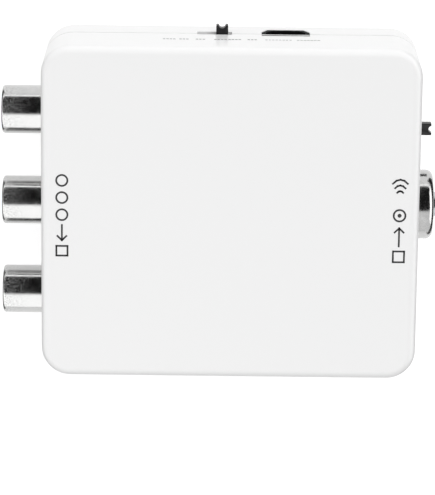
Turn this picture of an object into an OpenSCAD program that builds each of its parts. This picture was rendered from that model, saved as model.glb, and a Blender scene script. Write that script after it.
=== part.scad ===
// Converter box: composite video and stereo sound come in on three phono jacks, and an aerial
// signal goes out on a coaxial socket. A small five-contact socket takes power, and two slide
// switches choose the channel and the sound system.
// Millimetres. The origin is the centre of the underside. +Z is up, +X is the output side, -X the
// jack side and +Y the side with the power socket.

/* [Case] */
// Width of the case, from the jack side to the output side
case_w = 64.4; // [63:0.2:74]
// Depth of the case, from the plain side to the power side
case_d = 58; // [57:0.5:68]
// Height of the case
case_h = 20; // [19:0.2:26]
// Radius of the four upright corners
corner_r = 5; // [4:0.1:6.2]
// Rounding round the top and the bottom edges
edge_r = 1.4; // [0.6:0.1:1.5]
// Thickness of the side walls
wall_t = 1.8; // [1.6:0.1:2.2]
// Thickness of the tray's floor
floor_t = 1.6; // [1.4:0.1:2]
// Thickness of the cover's roof
roof_t = 1.8; // [1.4:0.1:2.4]
// Height of the joint line between the tray and the cover
seam_h = 7.7; // [7:0.1:8.4]
// Open shadow line between the tray's edge and the cover's edge
reveal = 0.3; // [0.15:0.05:0.5]

/* [Circuit board] */
// Thickness of the circuit board
board_t = 1.2; // [1:0.1:1.6]
// Space under the circuit board
under_gap = 1.4; // [1.2:0.1:1.8]
// Gap from the board's edge to the side walls
board_gap = 0.5; // [0.3:0.1:0.8]

/* [Phono jacks] */
// Gap from the outer jacks' bodies to the corner bosses, which sets how far apart the jacks are
jack_boss_gap = 0.3; // [0.3:0.1:1.5]
// Outer diameter of a phono jack's barrel
jack_d = 8.3; // [8:0.1:8.6]
// Thickness of the barrel's metal
jack_metal_t = 0.5; // [0.4:0.05:0.6]
// Length of barrel that stands out of the case
jack_proud = 7; // [6:0.5:10]
// Height of the jack's axis above the board
jack_axis_h = 6.4; // [6.3:0.1:7]
// Diameter of the spring contact's bore for the plug's pin
jack_pin_d = 3.3; // [3.2:0.05:3.6]
// Width of the moulded body behind the barrel
jack_body_w = 9.4; // [9:0.1:10]
// Length of the moulded body behind the barrel
jack_body_l = 10.2; // [9:0.2:11]
// Room between the moulded body and the case's roof
jack_headroom = 2.6; // [0.4:0.2:2.8]

/* [Aerial output socket] */
// Outer diameter of the socket's ring
rf_d = 12; // [11.6:0.1:12.6]
// Bore that takes the plug's sleeve
rf_bore_d = 9.6; // [9.4:0.1:9.8]
// Length of ring that stands out of the case
rf_proud = 2.7; // [2:0.1:5]
// Depth of the bore
rf_bore_depth = 9.6; // [8:0.2:11]
// Outer diameter of the centre contact
rf_contact_d = 4.2; // [3.8:0.1:4.6]
// Bore of the centre contact, for the plug's pin
rf_pin_d = 2.4; // [2.3:0.05:2.6]

/* [Power socket] */
// Centre of the power socket along its wall
usb_x = 9.2; // [8.6:0.2:12]
// Width of the power socket's metal shell
usb_w = 7.7; // [7.4:0.1:8]
// Width of the shell's narrow foot
usb_foot_w = 5.6; // [5.2:0.1:6]
// Height of the power socket's metal shell
usb_h = 3.9; // [3.7:0.1:4.1]
// Length of the power socket's metal shell
usb_l = 9.2; // [8.6:0.2:10]

/* [Slide switches] */
// Centre of the channel switch along the power side
channel_x = -3; // [-7:0.5:-3]
// Place of the sound system switch, from the aerial socket (0) to the corner boss (1)
system_share = 0.58; // [0.15:0.01:0.85]
// Travel of a switch knob from one end to the other
switch_travel = 2.6; // [2:0.1:2.8]
// Width of a knob along its travel
knob_w = 2.05; // [1.8:0.05:2.4]
// Height of a knob
knob_h = 1.8; // [1.5:0.1:2.2]
// Length of the channel knob that stands out of the case
channel_proud = 1.5; // [1.1:0.1:2.6]
// Length of the sound system knob that stands out of the case
system_proud = 2.4; // [1.2:0.1:3.4]
// Length of a switch's steel frame
switch_l = 9; // [8.8:0.1:9.4]
// Height of a switch's steel frame
switch_h = 6.4; // [6.2:0.1:6.8]
// Depth of a switch's steel frame
switch_depth = 4.2; // [4.1:0.1:4.6]

/* [Fasteners] */
// Distance of the case screws from the outer walls
boss_inset = 5; // [4.8:0.1:5.2]
// Diameter of the case screws' thread
case_screw_d = 2.2; // [2:0.1:2.4]
// Length of the case screws under the head
case_screw_l = 9; // [7:0.5:11]
// Diameter of the board screws' thread
board_screw_d = 1.8; // [1.6:0.1:2]

/* [Hidden] */
$fn = 64;

// Every cut runs on by this much past the face it opens
overrun = 1;
// Clearance between parts that are pushed together or slide on each other
fit_gap = 0.1;
// Clearance all round a screw's thread in its hole
thread_gap = 0.05;
// Clearance of a lead in its hole in the board
lead_gap = 0.12;
// How far soldered leads reach out under the board
lead_out = 0.8;
// Thickness of the sheet metal of frames, flanges and leads
sheet_t = 0.35;

// Heights and sizes that everything stands on
board_z = floor_t + under_gap;
board_top = board_z + board_t;
lead_end = board_z - lead_out;
jack_z = board_top + jack_axis_h;
switch_z = board_top + switch_h / 2;
board_w = case_w - 2 * (wall_t + board_gap);
board_d = case_d - 2 * (wall_t + board_gap);

// The rim inside the joint that locates the cover on the tray
lip_h = 1;
lip_share = 0.4;
lip_t = wall_t * lip_share;

// Case screws and the bosses that they join
screw_head_r = 1.9;
screw_head_h = 1.4;
head_gap = 0.3;
counterbore_r = screw_head_r + head_gap;
counterbore_depth = 2.2;
tray_boss_wall = 0.8;
cover_boss_wall = 1.4;
boss_x = case_w / 2 - boss_inset;
boss_y = case_d / 2 - boss_inset;
tray_boss_r = counterbore_r + tray_boss_wall;
cover_boss_r = case_screw_d / 2 + cover_boss_wall;
boss_joint = board_top;
pilot_spare = 0.8;
web_t = 1.2;
cross_w = 0.55;
cross_l = 2.2;
cross_depth = 0.8;
head_top_share = 0.86;
point_share = 0.25;

// Board posts: x and y as shares of half the board. The first two hold the board screws
post_shares = [[-0.30, -0.84], [0.52, -0.84], [-0.86, 0.32], [-0.86, -0.32], [-0.46, 0.84], [0.84, -0.62]];
screw_posts = 2;
post_r = 2;
board_head_r = 1.6;
board_head_h = 1;
board_cross_l = 1.9;
board_screw_bite = 2;

// Saddles: tongues of the tray that close the cover's notches under each barrel
saddle_horn = 0.7;
saddle_drop = 0.8;
jack_hole_gap = 0.35;
rf_hole_gap = 0.25;
jack_hole_r = jack_d / 2 + jack_hole_gap;
rf_hole_r = rf_d / 2 + rf_hole_gap;

// Phono jack
jack_pitch = boss_y - tray_boss_r - jack_body_w / 2 - jack_boss_gap;
jack_body_h = case_h - roof_t - board_top - jack_headroom;
jack_back_gap = 1.2;
collar_gap = 0.15;
jack_front = case_w / 2 + jack_proud;
jack_seat = case_w / 2 - wall_t - jack_back_gap;
jack_back = jack_seat - sheet_t;
nose_recess = 0.6;
nose_lip = 0.8;
contact_t = 0.45;
contact_slot = 0.4;
contact_slot_l = 4;
contact_back = 1.4;
ground_leg_w = 2;
tail_w = 1;
tail_inset = 2;
tail_x = jack_back - jack_body_l + tail_inset;
channel_gap = 0.2;

// Aerial socket
rf_land = 0.05;
rf_round = (rf_d - rf_bore_d) / 2 - rf_land;
rf_back_t = 1.8;
rf_neck_r = 3;
rf_plate_t = 1.4;
rf_front = case_w / 2 + rf_proud;
rf_back = rf_front - rf_bore_depth - rf_back_t;
rf_contact_proud = 0.8;
rf_contact_round = 0.4;
rf_pin_depth = 9;
rf_slot = 0.4;
rf_slot_l = 5;
rf_foot_w = 8;
rf_foot_gap = 0.4;
rf_leg_r = 0.6;
rf_leg_inset = 1.2;
rf_tail_r = 0.5;
rf_tail_run = 2.4;
rf_tail_x = rf_back - rf_tail_run;

// Power socket
usb_metal_t = 0.3;
usb_knee_h = 1.9;
usb_cut_gap = 0.3;
usb_headroom = 1.3;
usb_block_l = 2.4;
usb_tongue_w = 4.2;
usb_tongue_t = 0.9;
usb_tongue_recess = 1.2;
usb_pins = 5;
usb_pin_pitch = 0.8;
usb_pin_w = 0.35;
usb_pin_t = 0.15;
usb_pin_inset = 0.4;
usb_pin_foot = 0.7;
usb_tab_w = 1.2;
usb_tab_inset = 1.3;
usb_z = board_top + usb_h / 2;
usb_recess = 0.5;
usb_front = case_d / 2 - usb_recess;
usb_back = usb_front - usb_l;
usb_tab_places = [board_d / 2 - usb_tab_inset, usb_back + usb_tab_inset];

// Slide switch
system_room = boss_y - tray_boss_r - rf_d / 2 - switch_l;
system_y = (rf_d + switch_l) / 2 + system_share * system_room;
switch_back = 0.25;
knob_gap = 0.3;
slot_end = 0.65;
carriage_l = switch_l - 2 * sheet_t - switch_travel - 2 * fit_gap;
carriage_h = switch_h - 2 * sheet_t - 2 * fit_gap;
carriage_t = 1.5;
carriage_pocket = 0.3;
clip_t = 0.25;
clip_l = 3.6;
clip_w = 0.9;
clip_foot = 0.35;
clip_row_share = 0.27;
clip_z = switch_h * clip_row_share;
base_t = 1;
terminal_pitch = 2.5;
terminal_w = 0.8;
terminal_t = 0.3;
terminal_head = 0.05;
terminal_runs = [2.4, 0.8];
notch_r = 0.62;
notch_depth = 0.5;
frame_leg_w = 1.4;

// Places of parts on the board, as shares of half the board
shield_shares = [0.33, -0.20];
control_shares = [-0.28, 0.10];
crystal_shares = [-0.22, -0.28];
can_shares = [[0.66, 0.42], [-0.47, 0.52], [-0.02, 0.42]];
choke_shares = [0.26, 0.36];
regulator_shares = [0.02, 0.20];
resistor_shares = [[-0.48, 0.30], [-0.48, 0.22], [-0.48, -0.30], [-0.48, -0.22], [-0.05, -0.56],
    [0.05, -0.56], [0.15, -0.56], [0.25, -0.56], [-0.15, -0.56], [-0.45, -0.56]];
ceramic_shares = [[-0.05, -0.72], [0.05, -0.72], [0.15, -0.72], [0.25, -0.72], [0.35, -0.72],
    [-0.15, -0.72], [-0.48, 0.02], [-0.48, -0.06], [0.44, 0.62], [0.44, 0.54]];

// Sizes of parts on the board
shield_w = 18;
shield_d = 15;
shield_h = 5.5;
shield_t = 0.3;
shield_rim = 1.2;
shield_hole_r = 0.8;
shield_hole_shares = [[-0.6, 0.5], [0.6, 0.5], [0.6, -0.5], [-0.6, -0.5], [0, 0]];
chip_w = 9.9;
chip_d = 3.9;
chip_h = 1.5;
chip_stand = 0.15;
chip_pins = 8;
chip_end = 0.505;
chip_pin_pitch = (chip_w - 2 * chip_end) / (chip_pins - 1);
chip_pin_w = 0.42;
chip_pin_t = 0.2;
chip_pin_run = 1.05;
crystal_l = 11.4;
crystal_w = 4.6;
crystal_h = 3.5;
crystal_base_t = 0.5;
can_r = 2.5;
can_h = 7;
can_round = 0.5;
can_base_w = 5.3;
can_base_h = 0.8;
choke_r = 2.6;
choke_h = 3;
choke_waist_r = 1.7;
choke_flange = 0.7;
regulator_w = 4.5;
regulator_d = 2.5;
regulator_h = 1.5;
regulator_lead = 0.9;
regulator_lead_w = 0.45;
regulator_lead_t = 0.4;
regulator_tab_w = 1.7;
regulator_pitch = 1.5;
resistor_size = [2, 1.25, 0.5];
ceramic_size = [1.6, 0.8, 0.8];

// Colours
white_case = [0.93, 0.93, 0.92];
nickel = [0.78, 0.78, 0.77];
tin = [0.70, 0.71, 0.72];
steel = [0.55, 0.56, 0.58];
gold = [0.85, 0.68, 0.32];
board_green = [0.05, 0.32, 0.16];
black_plastic = [0.06, 0.06, 0.065];
phenolic = [0.45, 0.27, 0.13];
video_yellow = [0.93, 0.76, 0.10];
audio_white = [0.90, 0.90, 0.88];
audio_red = [0.75, 0.08, 0.08];
insulator_white = [0.92, 0.92, 0.88];
can_aluminium = [0.74, 0.75, 0.77];
ferrite_black = [0.12, 0.12, 0.13];
ceramic_tan = [0.66, 0.54, 0.40];

// A plate with round upright corners, standing on z = 0
module round_plate(w, d, h, r) {
    translate([-w / 2 + r, -d / 2, 0]) cube([w - 2 * r, d, h]);
    translate([-w / 2, -d / 2 + r, 0]) cube([w, d - 2 * r, h]);
    for (sx = [-1, 1], sy = [-1, 1])
        translate([sx * (w / 2 - r), sy * (d / 2 - r), 0]) cylinder(r = r, h = h);
}

// Section of a block whose two lower edges are rounded, drawn from the middle
module soft_section(w, h, e) {
    translate([-w / 2 + e, 0]) square([w - 2 * e, h]);
    translate([-w / 2, e]) square([w, h - e]);
    for (s = [-1, 1]) translate([s * (w / 2 - e), e]) circle(r = e);
}

// A block with round upright corners and a rounded lower edge, standing on z = 0
module soft_block(w, d, h, r, e) {
    rotate([90, 0, 90]) translate([0, 0, -w / 2 + r]) linear_extrude(w - 2 * r) soft_section(d, h, e);
    rotate([90, 0, 0]) translate([0, 0, -d / 2 + r]) linear_extrude(d - 2 * r) soft_section(w, h, e);
    for (sx = [-1, 1], sy = [-1, 1])
        translate([sx * (w / 2 - r), sy * (d / 2 - r), 0])
            rotate_extrude() intersection() {
                soft_section(2 * r, h, e);
                square([r, h]);
            }
}

// A ring of wall that starts this far in from the case's outside
module wall_ring(inset, t, h) {
    difference() {
        round_plate(case_w - 2 * inset, case_d - 2 * inset, h, corner_r - inset);
        translate([0, 0, -overrun])
            round_plate(case_w - 2 * (inset + t), case_d - 2 * (inset + t), h + 2 * overrun,
                corner_r - inset - t);
    }
}

// The room inside the side walls
module wall_room(h) {
    round_plate(case_w - 2 * wall_t, case_d - 2 * wall_t, h, corner_r - wall_t);
}

// Turns a shape drawn along +Z so that it runs along +X, from a point on a jack's axis
module along_x(x) {
    translate([x, 0, jack_z]) rotate([0, 90, 0]) children();
}

// Section of a turned part of this radius and length, its far outer edge rounded
module turned_section(r, l, e) {
    square([r, l - e]);
    square([r - e, l]);
    translate([r - e, l - e]) intersection() {
        circle(r = e);
        square([e, e]);
    }
}

module at_jacks() {
    for (k = [-1 : 1]) translate([0, k * jack_pitch, 0]) children();
}

module at_bosses() {
    for (sx = [-1, 1], sy = [-1, 1]) translate([sx * boss_x, sy * boss_y, 0]) children();
}

// Repeats a shape drawn in the +X +Y corner in all four corners
module in_corners() {
    for (mx = [0, 1], my = [0, 1]) mirror([mx, 0, 0]) mirror([0, my, 0]) children();
}

// The board posts from one number to another
module at_posts(first, last) {
    for (k = [first : last])
        translate([post_shares[k][0] * board_w / 2, post_shares[k][1] * board_d / 2, 0]) children();
}

// Places a switch, drawn with its front plate at y = 0 and facing +Y, on the board
module at_channel() {
    translate([channel_x, case_d / 2 - wall_t - switch_back, switch_z]) children();
}

module at_system() {
    translate([case_w / 2 - wall_t - switch_back, system_y, switch_z]) rotate([0, 0, -90]) children();
}

// Puts a part at a share of half the board, on the board's top
module on_board(shares) {
    translate([shares[0] * board_w / 2, shares[1] * board_d / 2, board_top]) children();
}

// A tongue in one side wall, up to the saddle under a barrel. side is -1 or 1
module saddle(side, hole_r, gap, low, t) {
    half = hole_r + saddle_horn + gap;
    translate([side * (case_w / 2 - wall_t / 2) - t / 2, -half, low])
        cube([t, 2 * half, jack_z - saddle_drop + gap - low]);
}

module saddles(gap, low, t) {
    at_jacks() saddle(-1, jack_hole_r, gap, low, t);
    saddle(1, rf_hole_r, gap, low, t);
}

// Slot in a wall for a knob's travel, in the switch's own frame
module knob_slot() {
    l = knob_w + switch_travel + 2 * slot_end;
    translate([-l / 2, -overrun, -knob_h / 2 - knob_gap])
        cube([l, wall_t + switch_back + 2 * overrun, knob_h + 2 * knob_gap]);
}

// Outline of the power socket, wide above its knee and narrow at its foot, grown by g
module usb_outline(g) {
    half = usb_w / 2 + g;
    foot = usb_foot_w / 2 + g;
    knee = usb_knee_h - usb_h / 2;
    polygon([[-half, usb_h / 2 + g], [-half, knee], [-foot, -usb_h / 2 - g],
        [foot, -usb_h / 2 - g], [half, knee], [half, usb_h / 2 + g]]);
}

// The power socket's outline as a bar that runs from y = front towards -Y
module usb_bar(g, front, l) {
    translate([usb_x, front, usb_z]) rotate([90, 0, 0]) linear_extrude(l) usb_outline(g);
}

module usb_cut() {
    usb_bar(usb_cut_gap, case_d / 2 + overrun, wall_t + 2 * overrun);
    translate([usb_x - usb_w / 2 - usb_cut_gap, case_d / 2 - wall_t - overrun, usb_z])
        cube([usb_w + 2 * usb_cut_gap, wall_t + 2 * overrun, usb_h / 2 + usb_headroom]);
}

// Everything that opens the side walls of the cover and of the tray
module wall_cuts() {
    at_jacks() along_x(-case_w / 2 - overrun) cylinder(r = jack_hole_r, h = wall_t + 2 * overrun);
    along_x(case_w / 2 - wall_t - overrun) cylinder(r = rf_hole_r, h = wall_t + 2 * overrun);
    at_channel() knob_slot();
    at_system() knob_slot();
    usb_cut();
}

module top_cover() {
    low = seam_h + reveal;
    pilot_l = case_screw_l - (boss_joint - counterbore_depth) + pilot_spare;
    color(white_case) difference() {
        union() {
            difference() {
                translate([0, 0, case_h]) mirror([0, 0, 1])
                    soft_block(case_w, case_d, case_h - low, corner_r, edge_r);
                translate([0, 0, low - overrun]) wall_room(case_h - roof_t - low + overrun);
            }
            at_bosses() translate([0, 0, boss_joint])
                cylinder(r = cover_boss_r, h = case_h - roof_t / 2 - boss_joint);
        }
        translate([0, 0, low - overrun])
            wall_ring(wall_t - lip_t - fit_gap, lip_t + fit_gap, lip_h + fit_gap - reveal + overrun);
        saddles(fit_gap, low - overrun, wall_t + 2 * overrun);
        wall_cuts();
        at_bosses() translate([0, 0, boss_joint - overrun])
            cylinder(r = case_screw_d / 2 + thread_gap, h = pilot_l + overrun);
    }
}

// A corner boss of the tray, tied to both walls by webs
module tray_boss() {
    cylinder(r = tray_boss_r, h = boss_joint);
    translate([0, -web_t / 2, 0]) cube([boss_inset, web_t, boss_joint]);
    translate([-web_t / 2, 0, 0]) cube([web_t, boss_inset, boss_joint]);
}

module bottom_tray() {
    color(white_case) difference() {
        union() {
            difference() {
                soft_block(case_w, case_d, seam_h, corner_r, edge_r);
                translate([0, 0, floor_t]) wall_room(seam_h);
            }
            translate([0, 0, seam_h - lip_h]) wall_ring(wall_t - lip_t, lip_t, 2 * lip_h);
            saddles(0, seam_h - lip_h, wall_t);
            translate([0, 0, floor_t / 2]) intersection() {
                wall_room(boss_joint - floor_t / 2);
                in_corners() translate([boss_x, boss_y, 0]) tray_boss();
            }
            at_posts(0, len(post_shares) - 1) translate([0, 0, floor_t / 2])
                cylinder(r = post_r, h = board_z - floor_t / 2);
        }
        wall_cuts();
        at_bosses() translate([0, 0, -overrun]) {
            cylinder(r = counterbore_r, h = counterbore_depth + overrun);
            cylinder(r = case_screw_d / 2 + fit_gap, h = boss_joint + 2 * overrun);
        }
        at_posts(0, screw_posts - 1) translate([0, 0, board_z - board_screw_bite])
            cylinder(r = board_screw_d / 2 + thread_gap, h = board_screw_bite + overrun);
    }
}

// A pan-head screw with a cross recess, its seat at z = 0 and its thread along +Z
module screw(head_r, head_h, thread_r, l, cross) {
    difference() {
        union() {
            translate([0, 0, -head_h]) cylinder(r1 = head_r * head_top_share, r2 = head_r, h = head_h / 2);
            translate([0, 0, -head_h / 2]) cylinder(r = head_r, h = head_h / 2);
            cylinder(r = thread_r, h = l - thread_r);
            translate([0, 0, l - thread_r])
                cylinder(r1 = thread_r, r2 = thread_r * point_share, h = thread_r);
        }
        for (a = [0, 90]) rotate([0, 0, a])
            translate([-cross / 2, -cross_w / 2, -head_h - overrun])
                cube([cross, cross_w, cross_depth + overrun]);
    }
}

module case_screws() {
    color(steel) at_bosses() translate([0, 0, counterbore_depth])
        screw(screw_head_r, screw_head_h, case_screw_d / 2, case_screw_l, cross_l);
}

module board_screws() {
    l = board_t + board_screw_bite - fit_gap;
    color(steel) at_posts(0, screw_posts - 1) translate([0, 0, board_top]) mirror([0, 0, 1])
        screw(board_head_r, board_head_h, board_screw_d / 2, l, board_cross_l);
}

// A slot through the board for a flat lead of the given section
module lead_slot(x, y, w, d) {
    translate([x - w / 2 - lead_gap, y - d / 2 - lead_gap, board_z - overrun])
        cube([w + 2 * lead_gap, d + 2 * lead_gap, board_t + 2 * overrun]);
}

module lead_hole(r) {
    translate([0, 0, board_z - overrun]) cylinder(r = r + lead_gap, h = board_t + 2 * overrun);
}

// Places of the aerial socket's four legs
module at_rf_legs() {
    front = case_w / 2 - wall_t - rf_foot_gap;
    for (x = [rf_back + rf_leg_inset, front - rf_leg_inset], s = [-1, 1])
        translate([x, s * (rf_foot_w / 2 - rf_leg_inset), 0]) children();
}

// Holes in the board for one switch's terminals and legs, in the switch's own frame
module switch_lead_slots() {
    translate([0, 0, -switch_z]) {
        for (k = [-1 : 1], run = terminal_runs)
            lead_slot(k * terminal_pitch, -switch_depth - run - terminal_t / 2, terminal_w, terminal_t);
        for (s = [-1, 1])
            lead_slot(s * (switch_l - sheet_t) / 2, -switch_depth / 2, sheet_t, frame_leg_w);
    }
}

module circuit_board() {
    notch = tray_boss_r + board_gap;
    color(board_green) difference() {
        translate([-board_w / 2, -board_d / 2, board_z]) cube([board_w, board_d, board_t]);
        in_corners() translate([boss_x - notch, boss_y - notch, board_z - overrun])
            cube([board_w, board_d, board_t + 2 * overrun]);
        at_posts(0, screw_posts - 1) lead_hole(board_screw_d / 2);
        at_jacks() {
            lead_slot(-jack_seat + sheet_t / 2, 0, sheet_t, ground_leg_w);
            lead_slot(-tail_x, 0, sheet_t, tail_w);
        }
        at_rf_legs() lead_hole(rf_leg_r);
        translate([rf_tail_x, 0, 0]) lead_hole(rf_tail_r);
        at_channel() switch_lead_slots();
        at_system() switch_lead_slots();
        for (s = [-1, 1], y = usb_tab_places)
            lead_slot(usb_x + s * (usb_w - usb_metal_t) / 2, y, usb_metal_t, usb_tab_w);
    }
}

// One phono jack's metal barrel: round rim, collar in the case's wall, flange and ground leg
module jack_barrel() {
    r = jack_d / 2;
    l = jack_front - jack_back;
    flange = jack_body_w - 2 * sheet_t;
    color(nickel) difference() {
        union() {
            along_x(-jack_back) mirror([0, 0, 1]) rotate_extrude() turned_section(r, l, jack_metal_t);
            along_x(-case_w / 2) cylinder(r = jack_hole_r - collar_gap, h = case_w / 2 - jack_back);
            translate([-jack_seat, -flange / 2, jack_z - flange / 2]) cube([sheet_t, flange, flange]);
            translate([-jack_seat, -ground_leg_w / 2, lead_end])
                cube([sheet_t, ground_leg_w, jack_z - lead_end]);
        }
        along_x(-jack_front - overrun) cylinder(r = r - jack_metal_t, h = l + 2 * overrun);
    }
}

// One phono jack's moulded body, with the nose that fills the barrel
module jack_body(tint) {
    nose_front = -jack_front + nose_recess;
    tube_front = nose_front + nose_lip;
    tube_back = -jack_back + contact_back;
    color(tint) difference() {
        union() {
            translate([-jack_back, -jack_body_w / 2, board_top])
                cube([jack_body_l, jack_body_w, jack_body_h]);
            along_x(nose_front)
                cylinder(r = (jack_d - fit_gap) / 2 - jack_metal_t, h = -jack_back + overrun - nose_front);
        }
        along_x(tube_front)
            cylinder(r = (jack_pin_d + fit_gap) / 2 + contact_t, h = tube_back + fit_gap - tube_front);
        along_x(nose_front - overrun) cylinder(r = jack_pin_d / 2, h = nose_lip + 2 * overrun);
        translate([tube_back, -tail_w / 2 - channel_gap, board_top - overrun])
            cube([jack_body_l, tail_w + 2 * channel_gap, jack_axis_h + sheet_t / 2 + channel_gap + overrun]);
    }
}

// One phono jack's centre contact: a slotted tube with a tail that drops into the board
module jack_contact() {
    front = -jack_front + nose_recess + nose_lip + fit_gap;
    back = -jack_back + contact_back;
    r = jack_pin_d / 2;
    color(tin) difference() {
        union() {
            along_x(front) cylinder(r = r + contact_t, h = back - front);
            translate([back - sheet_t, -tail_w / 2, jack_z - sheet_t / 2])
                cube([-tail_x + sheet_t / 2 - (back - sheet_t), tail_w, sheet_t]);
            translate([-tail_x - sheet_t / 2, -tail_w / 2, lead_end])
                cube([sheet_t, tail_w, jack_z - lead_end]);
        }
        along_x(front - overrun) cylinder(r = r, h = back - front + overrun - sheet_t);
        along_x(front - overrun) for (a = [0, 90]) rotate([0, 0, a])
            translate([-contact_slot / 2, -jack_d / 2, 0])
                cube([contact_slot, jack_d, contact_slot_l + overrun]);
    }
}

module rf_socket_shell() {
    foot_l = case_w / 2 - wall_t - rf_foot_gap - rf_back;
    color(nickel) difference() {
        union() {
            along_x(rf_back) rotate_extrude() turned_section(rf_d / 2, rf_front - rf_back, rf_round);
            translate([rf_back, -rf_foot_w / 2, board_top]) cube([foot_l, rf_foot_w, jack_axis_h]);
            at_rf_legs() translate([0, 0, lead_end])
                cylinder(r = rf_leg_r, h = board_top + fit_gap - lead_end);
        }
        along_x(rf_back + rf_back_t) cylinder(r = rf_bore_d / 2, h = rf_bore_depth + overrun);
        along_x(rf_back - overrun) cylinder(r = rf_neck_r + fit_gap / 2, h = rf_back_t + 2 * overrun);
    }
}

module rf_socket_insulator() {
    color(insulator_white) difference() {
        union() {
            along_x(rf_back + rf_back_t) cylinder(r = (rf_bore_d - fit_gap) / 2, h = rf_plate_t);
            along_x(rf_back) cylinder(r = rf_neck_r, h = rf_back_t + rf_plate_t / 2);
        }
        along_x(rf_back - overrun)
            cylinder(r = (rf_contact_d + fit_gap) / 2, h = rf_back_t + rf_plate_t + 2 * overrun);
    }
}

// The aerial socket's centre contact: a slotted tube with a tail that drops into the board
module rf_socket_contact() {
    r = rf_contact_d / 2;
    front = rf_front + rf_contact_proud;
    color(tin) difference() {
        union() {
            along_x(rf_back) rotate_extrude() turned_section(r, front - rf_back, rf_contact_round);
            along_x(rf_tail_x) cylinder(r = rf_tail_r, h = rf_tail_run + rf_back_t / 2);
            translate([rf_tail_x, 0, lead_end]) cylinder(r = rf_tail_r, h = jack_z - lead_end);
            translate([rf_tail_x, 0, jack_z]) sphere(r = rf_tail_r);
        }
        along_x(front - rf_pin_depth) cylinder(r = rf_pin_d / 2, h = rf_pin_depth + overrun);
        along_x(front - rf_slot_l) translate([-r - overrun, -rf_slot / 2, 0])
            cube([rf_contact_d + 2 * overrun, rf_slot, rf_slot_l + overrun]);
    }
}

module power_socket_shell() {
    color(nickel) {
        difference() {
            usb_bar(0, usb_front, usb_l);
            usb_bar(-usb_metal_t, usb_front + overrun, usb_l + 2 * overrun);
        }
        for (s = [-1, 1], y = usb_tab_places)
            translate([usb_x + s * (usb_w - usb_metal_t) / 2 - usb_metal_t / 2, y - usb_tab_w / 2, lead_end])
                cube([usb_metal_t, usb_tab_w, board_top + usb_h - usb_metal_t - lead_end]);
    }
}

module at_usb_pins() {
    for (k = [0 : usb_pins - 1])
        translate([usb_x + (k - (usb_pins - 1) / 2) * usb_pin_pitch, 0, 0]) children();
}

module power_socket_insulator() {
    tongue_l = usb_l - usb_block_l / 2 - usb_tongue_recess;
    pin_low = usb_z + usb_tongue_t / 2;
    color(black_plastic) difference() {
        union() {
            usb_bar(-usb_metal_t - fit_gap / 2, usb_back + usb_block_l, usb_block_l);
            translate([usb_x - usb_tongue_w / 2, usb_back + usb_block_l / 2, usb_z - usb_tongue_t / 2])
                cube([usb_tongue_w, tongue_l, usb_tongue_t]);
        }
        at_usb_pins() translate([-(usb_pin_w + fit_gap) / 2, usb_back - overrun, pin_low])
            cube([usb_pin_w + fit_gap, usb_block_l + 2 * overrun, usb_pin_t + fit_gap / 2]);
    }
}

// Five strips: along the tongue, back through the block and down to a foot on the board
module power_socket_contacts() {
    pin_low = usb_z + usb_tongue_t / 2;
    pin_front = usb_front - usb_tongue_recess - usb_pin_inset;
    pin_back = usb_back - usb_pin_inset;
    color(gold) at_usb_pins() translate([-usb_pin_w / 2, 0, 0]) {
        translate([0, pin_back, pin_low]) cube([usb_pin_w, pin_front - pin_back, usb_pin_t]);
        translate([0, pin_back, board_top]) cube([usb_pin_w, usb_pin_t, pin_low + usb_pin_t - board_top]);
        translate([0, pin_back - usb_pin_foot, board_top])
            cube([usb_pin_w, usb_pin_foot + usb_pin_t, usb_pin_t]);
    }
}

// Steel frame of a slide switch, folded round its parts, with a leg at each end
module switch_frame() {
    slot_l = knob_w + switch_travel + 2 * fit_gap;
    color(tin) {
        difference() {
            translate([-switch_l / 2, -switch_depth, -switch_h / 2])
                cube([switch_l, switch_depth, switch_h]);
            translate([-switch_l / 2 + sheet_t, -switch_depth - overrun, -switch_h / 2 + sheet_t])
                cube([switch_l - 2 * sheet_t, switch_depth - sheet_t + overrun, switch_h - 2 * sheet_t]);
            translate([-slot_l / 2, -sheet_t - overrun, -knob_h / 2 - fit_gap])
                cube([slot_l, sheet_t + 2 * overrun, knob_h + 2 * fit_gap]);
        }
        for (s = [-1, 1])
            translate([s * (switch_l - sheet_t) / 2 - sheet_t / 2, -(switch_depth + frame_leg_w) / 2, 0])
                translate([0, 0, lead_end - switch_z]) cube([sheet_t, frame_leg_w, switch_z - lead_end]);
    }
}

module switch_base() {
    color(phenolic) difference() {
        translate([-(switch_l - fit_gap) / 2 + sheet_t, -switch_depth, -(switch_h - fit_gap) / 2 + sheet_t])
            cube([switch_l - 2 * sheet_t - fit_gap, base_t, switch_h - 2 * sheet_t - fit_gap]);
        for (k = [-1 : 1], s = [-1, 1])
            translate([k * terminal_pitch - (terminal_w + fit_gap) / 2, -switch_depth - overrun,
                s * clip_z - (terminal_t + fit_gap) / 2])
                cube([terminal_w + fit_gap, base_t + 2 * overrun, terminal_t + fit_gap]);
    }
}

// Six flat terminals: through the base, back, then down into the board
module switch_terminals() {
    color(tin) for (k = [-1 : 1], row = [0, 1]) translate([k * terminal_pitch - terminal_w / 2, 0, 0]) {
        z = (row == 0 ? clip_z : -clip_z);
        back = -switch_depth - terminal_runs[row] - terminal_t;
        translate([0, back, z - terminal_t / 2])
            cube([terminal_w, terminal_runs[row] + terminal_t + base_t + terminal_head, terminal_t]);
        translate([0, back, lead_end - switch_z]) cube([terminal_w, terminal_t, z + switch_z - lead_end]);
    }
}

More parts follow.
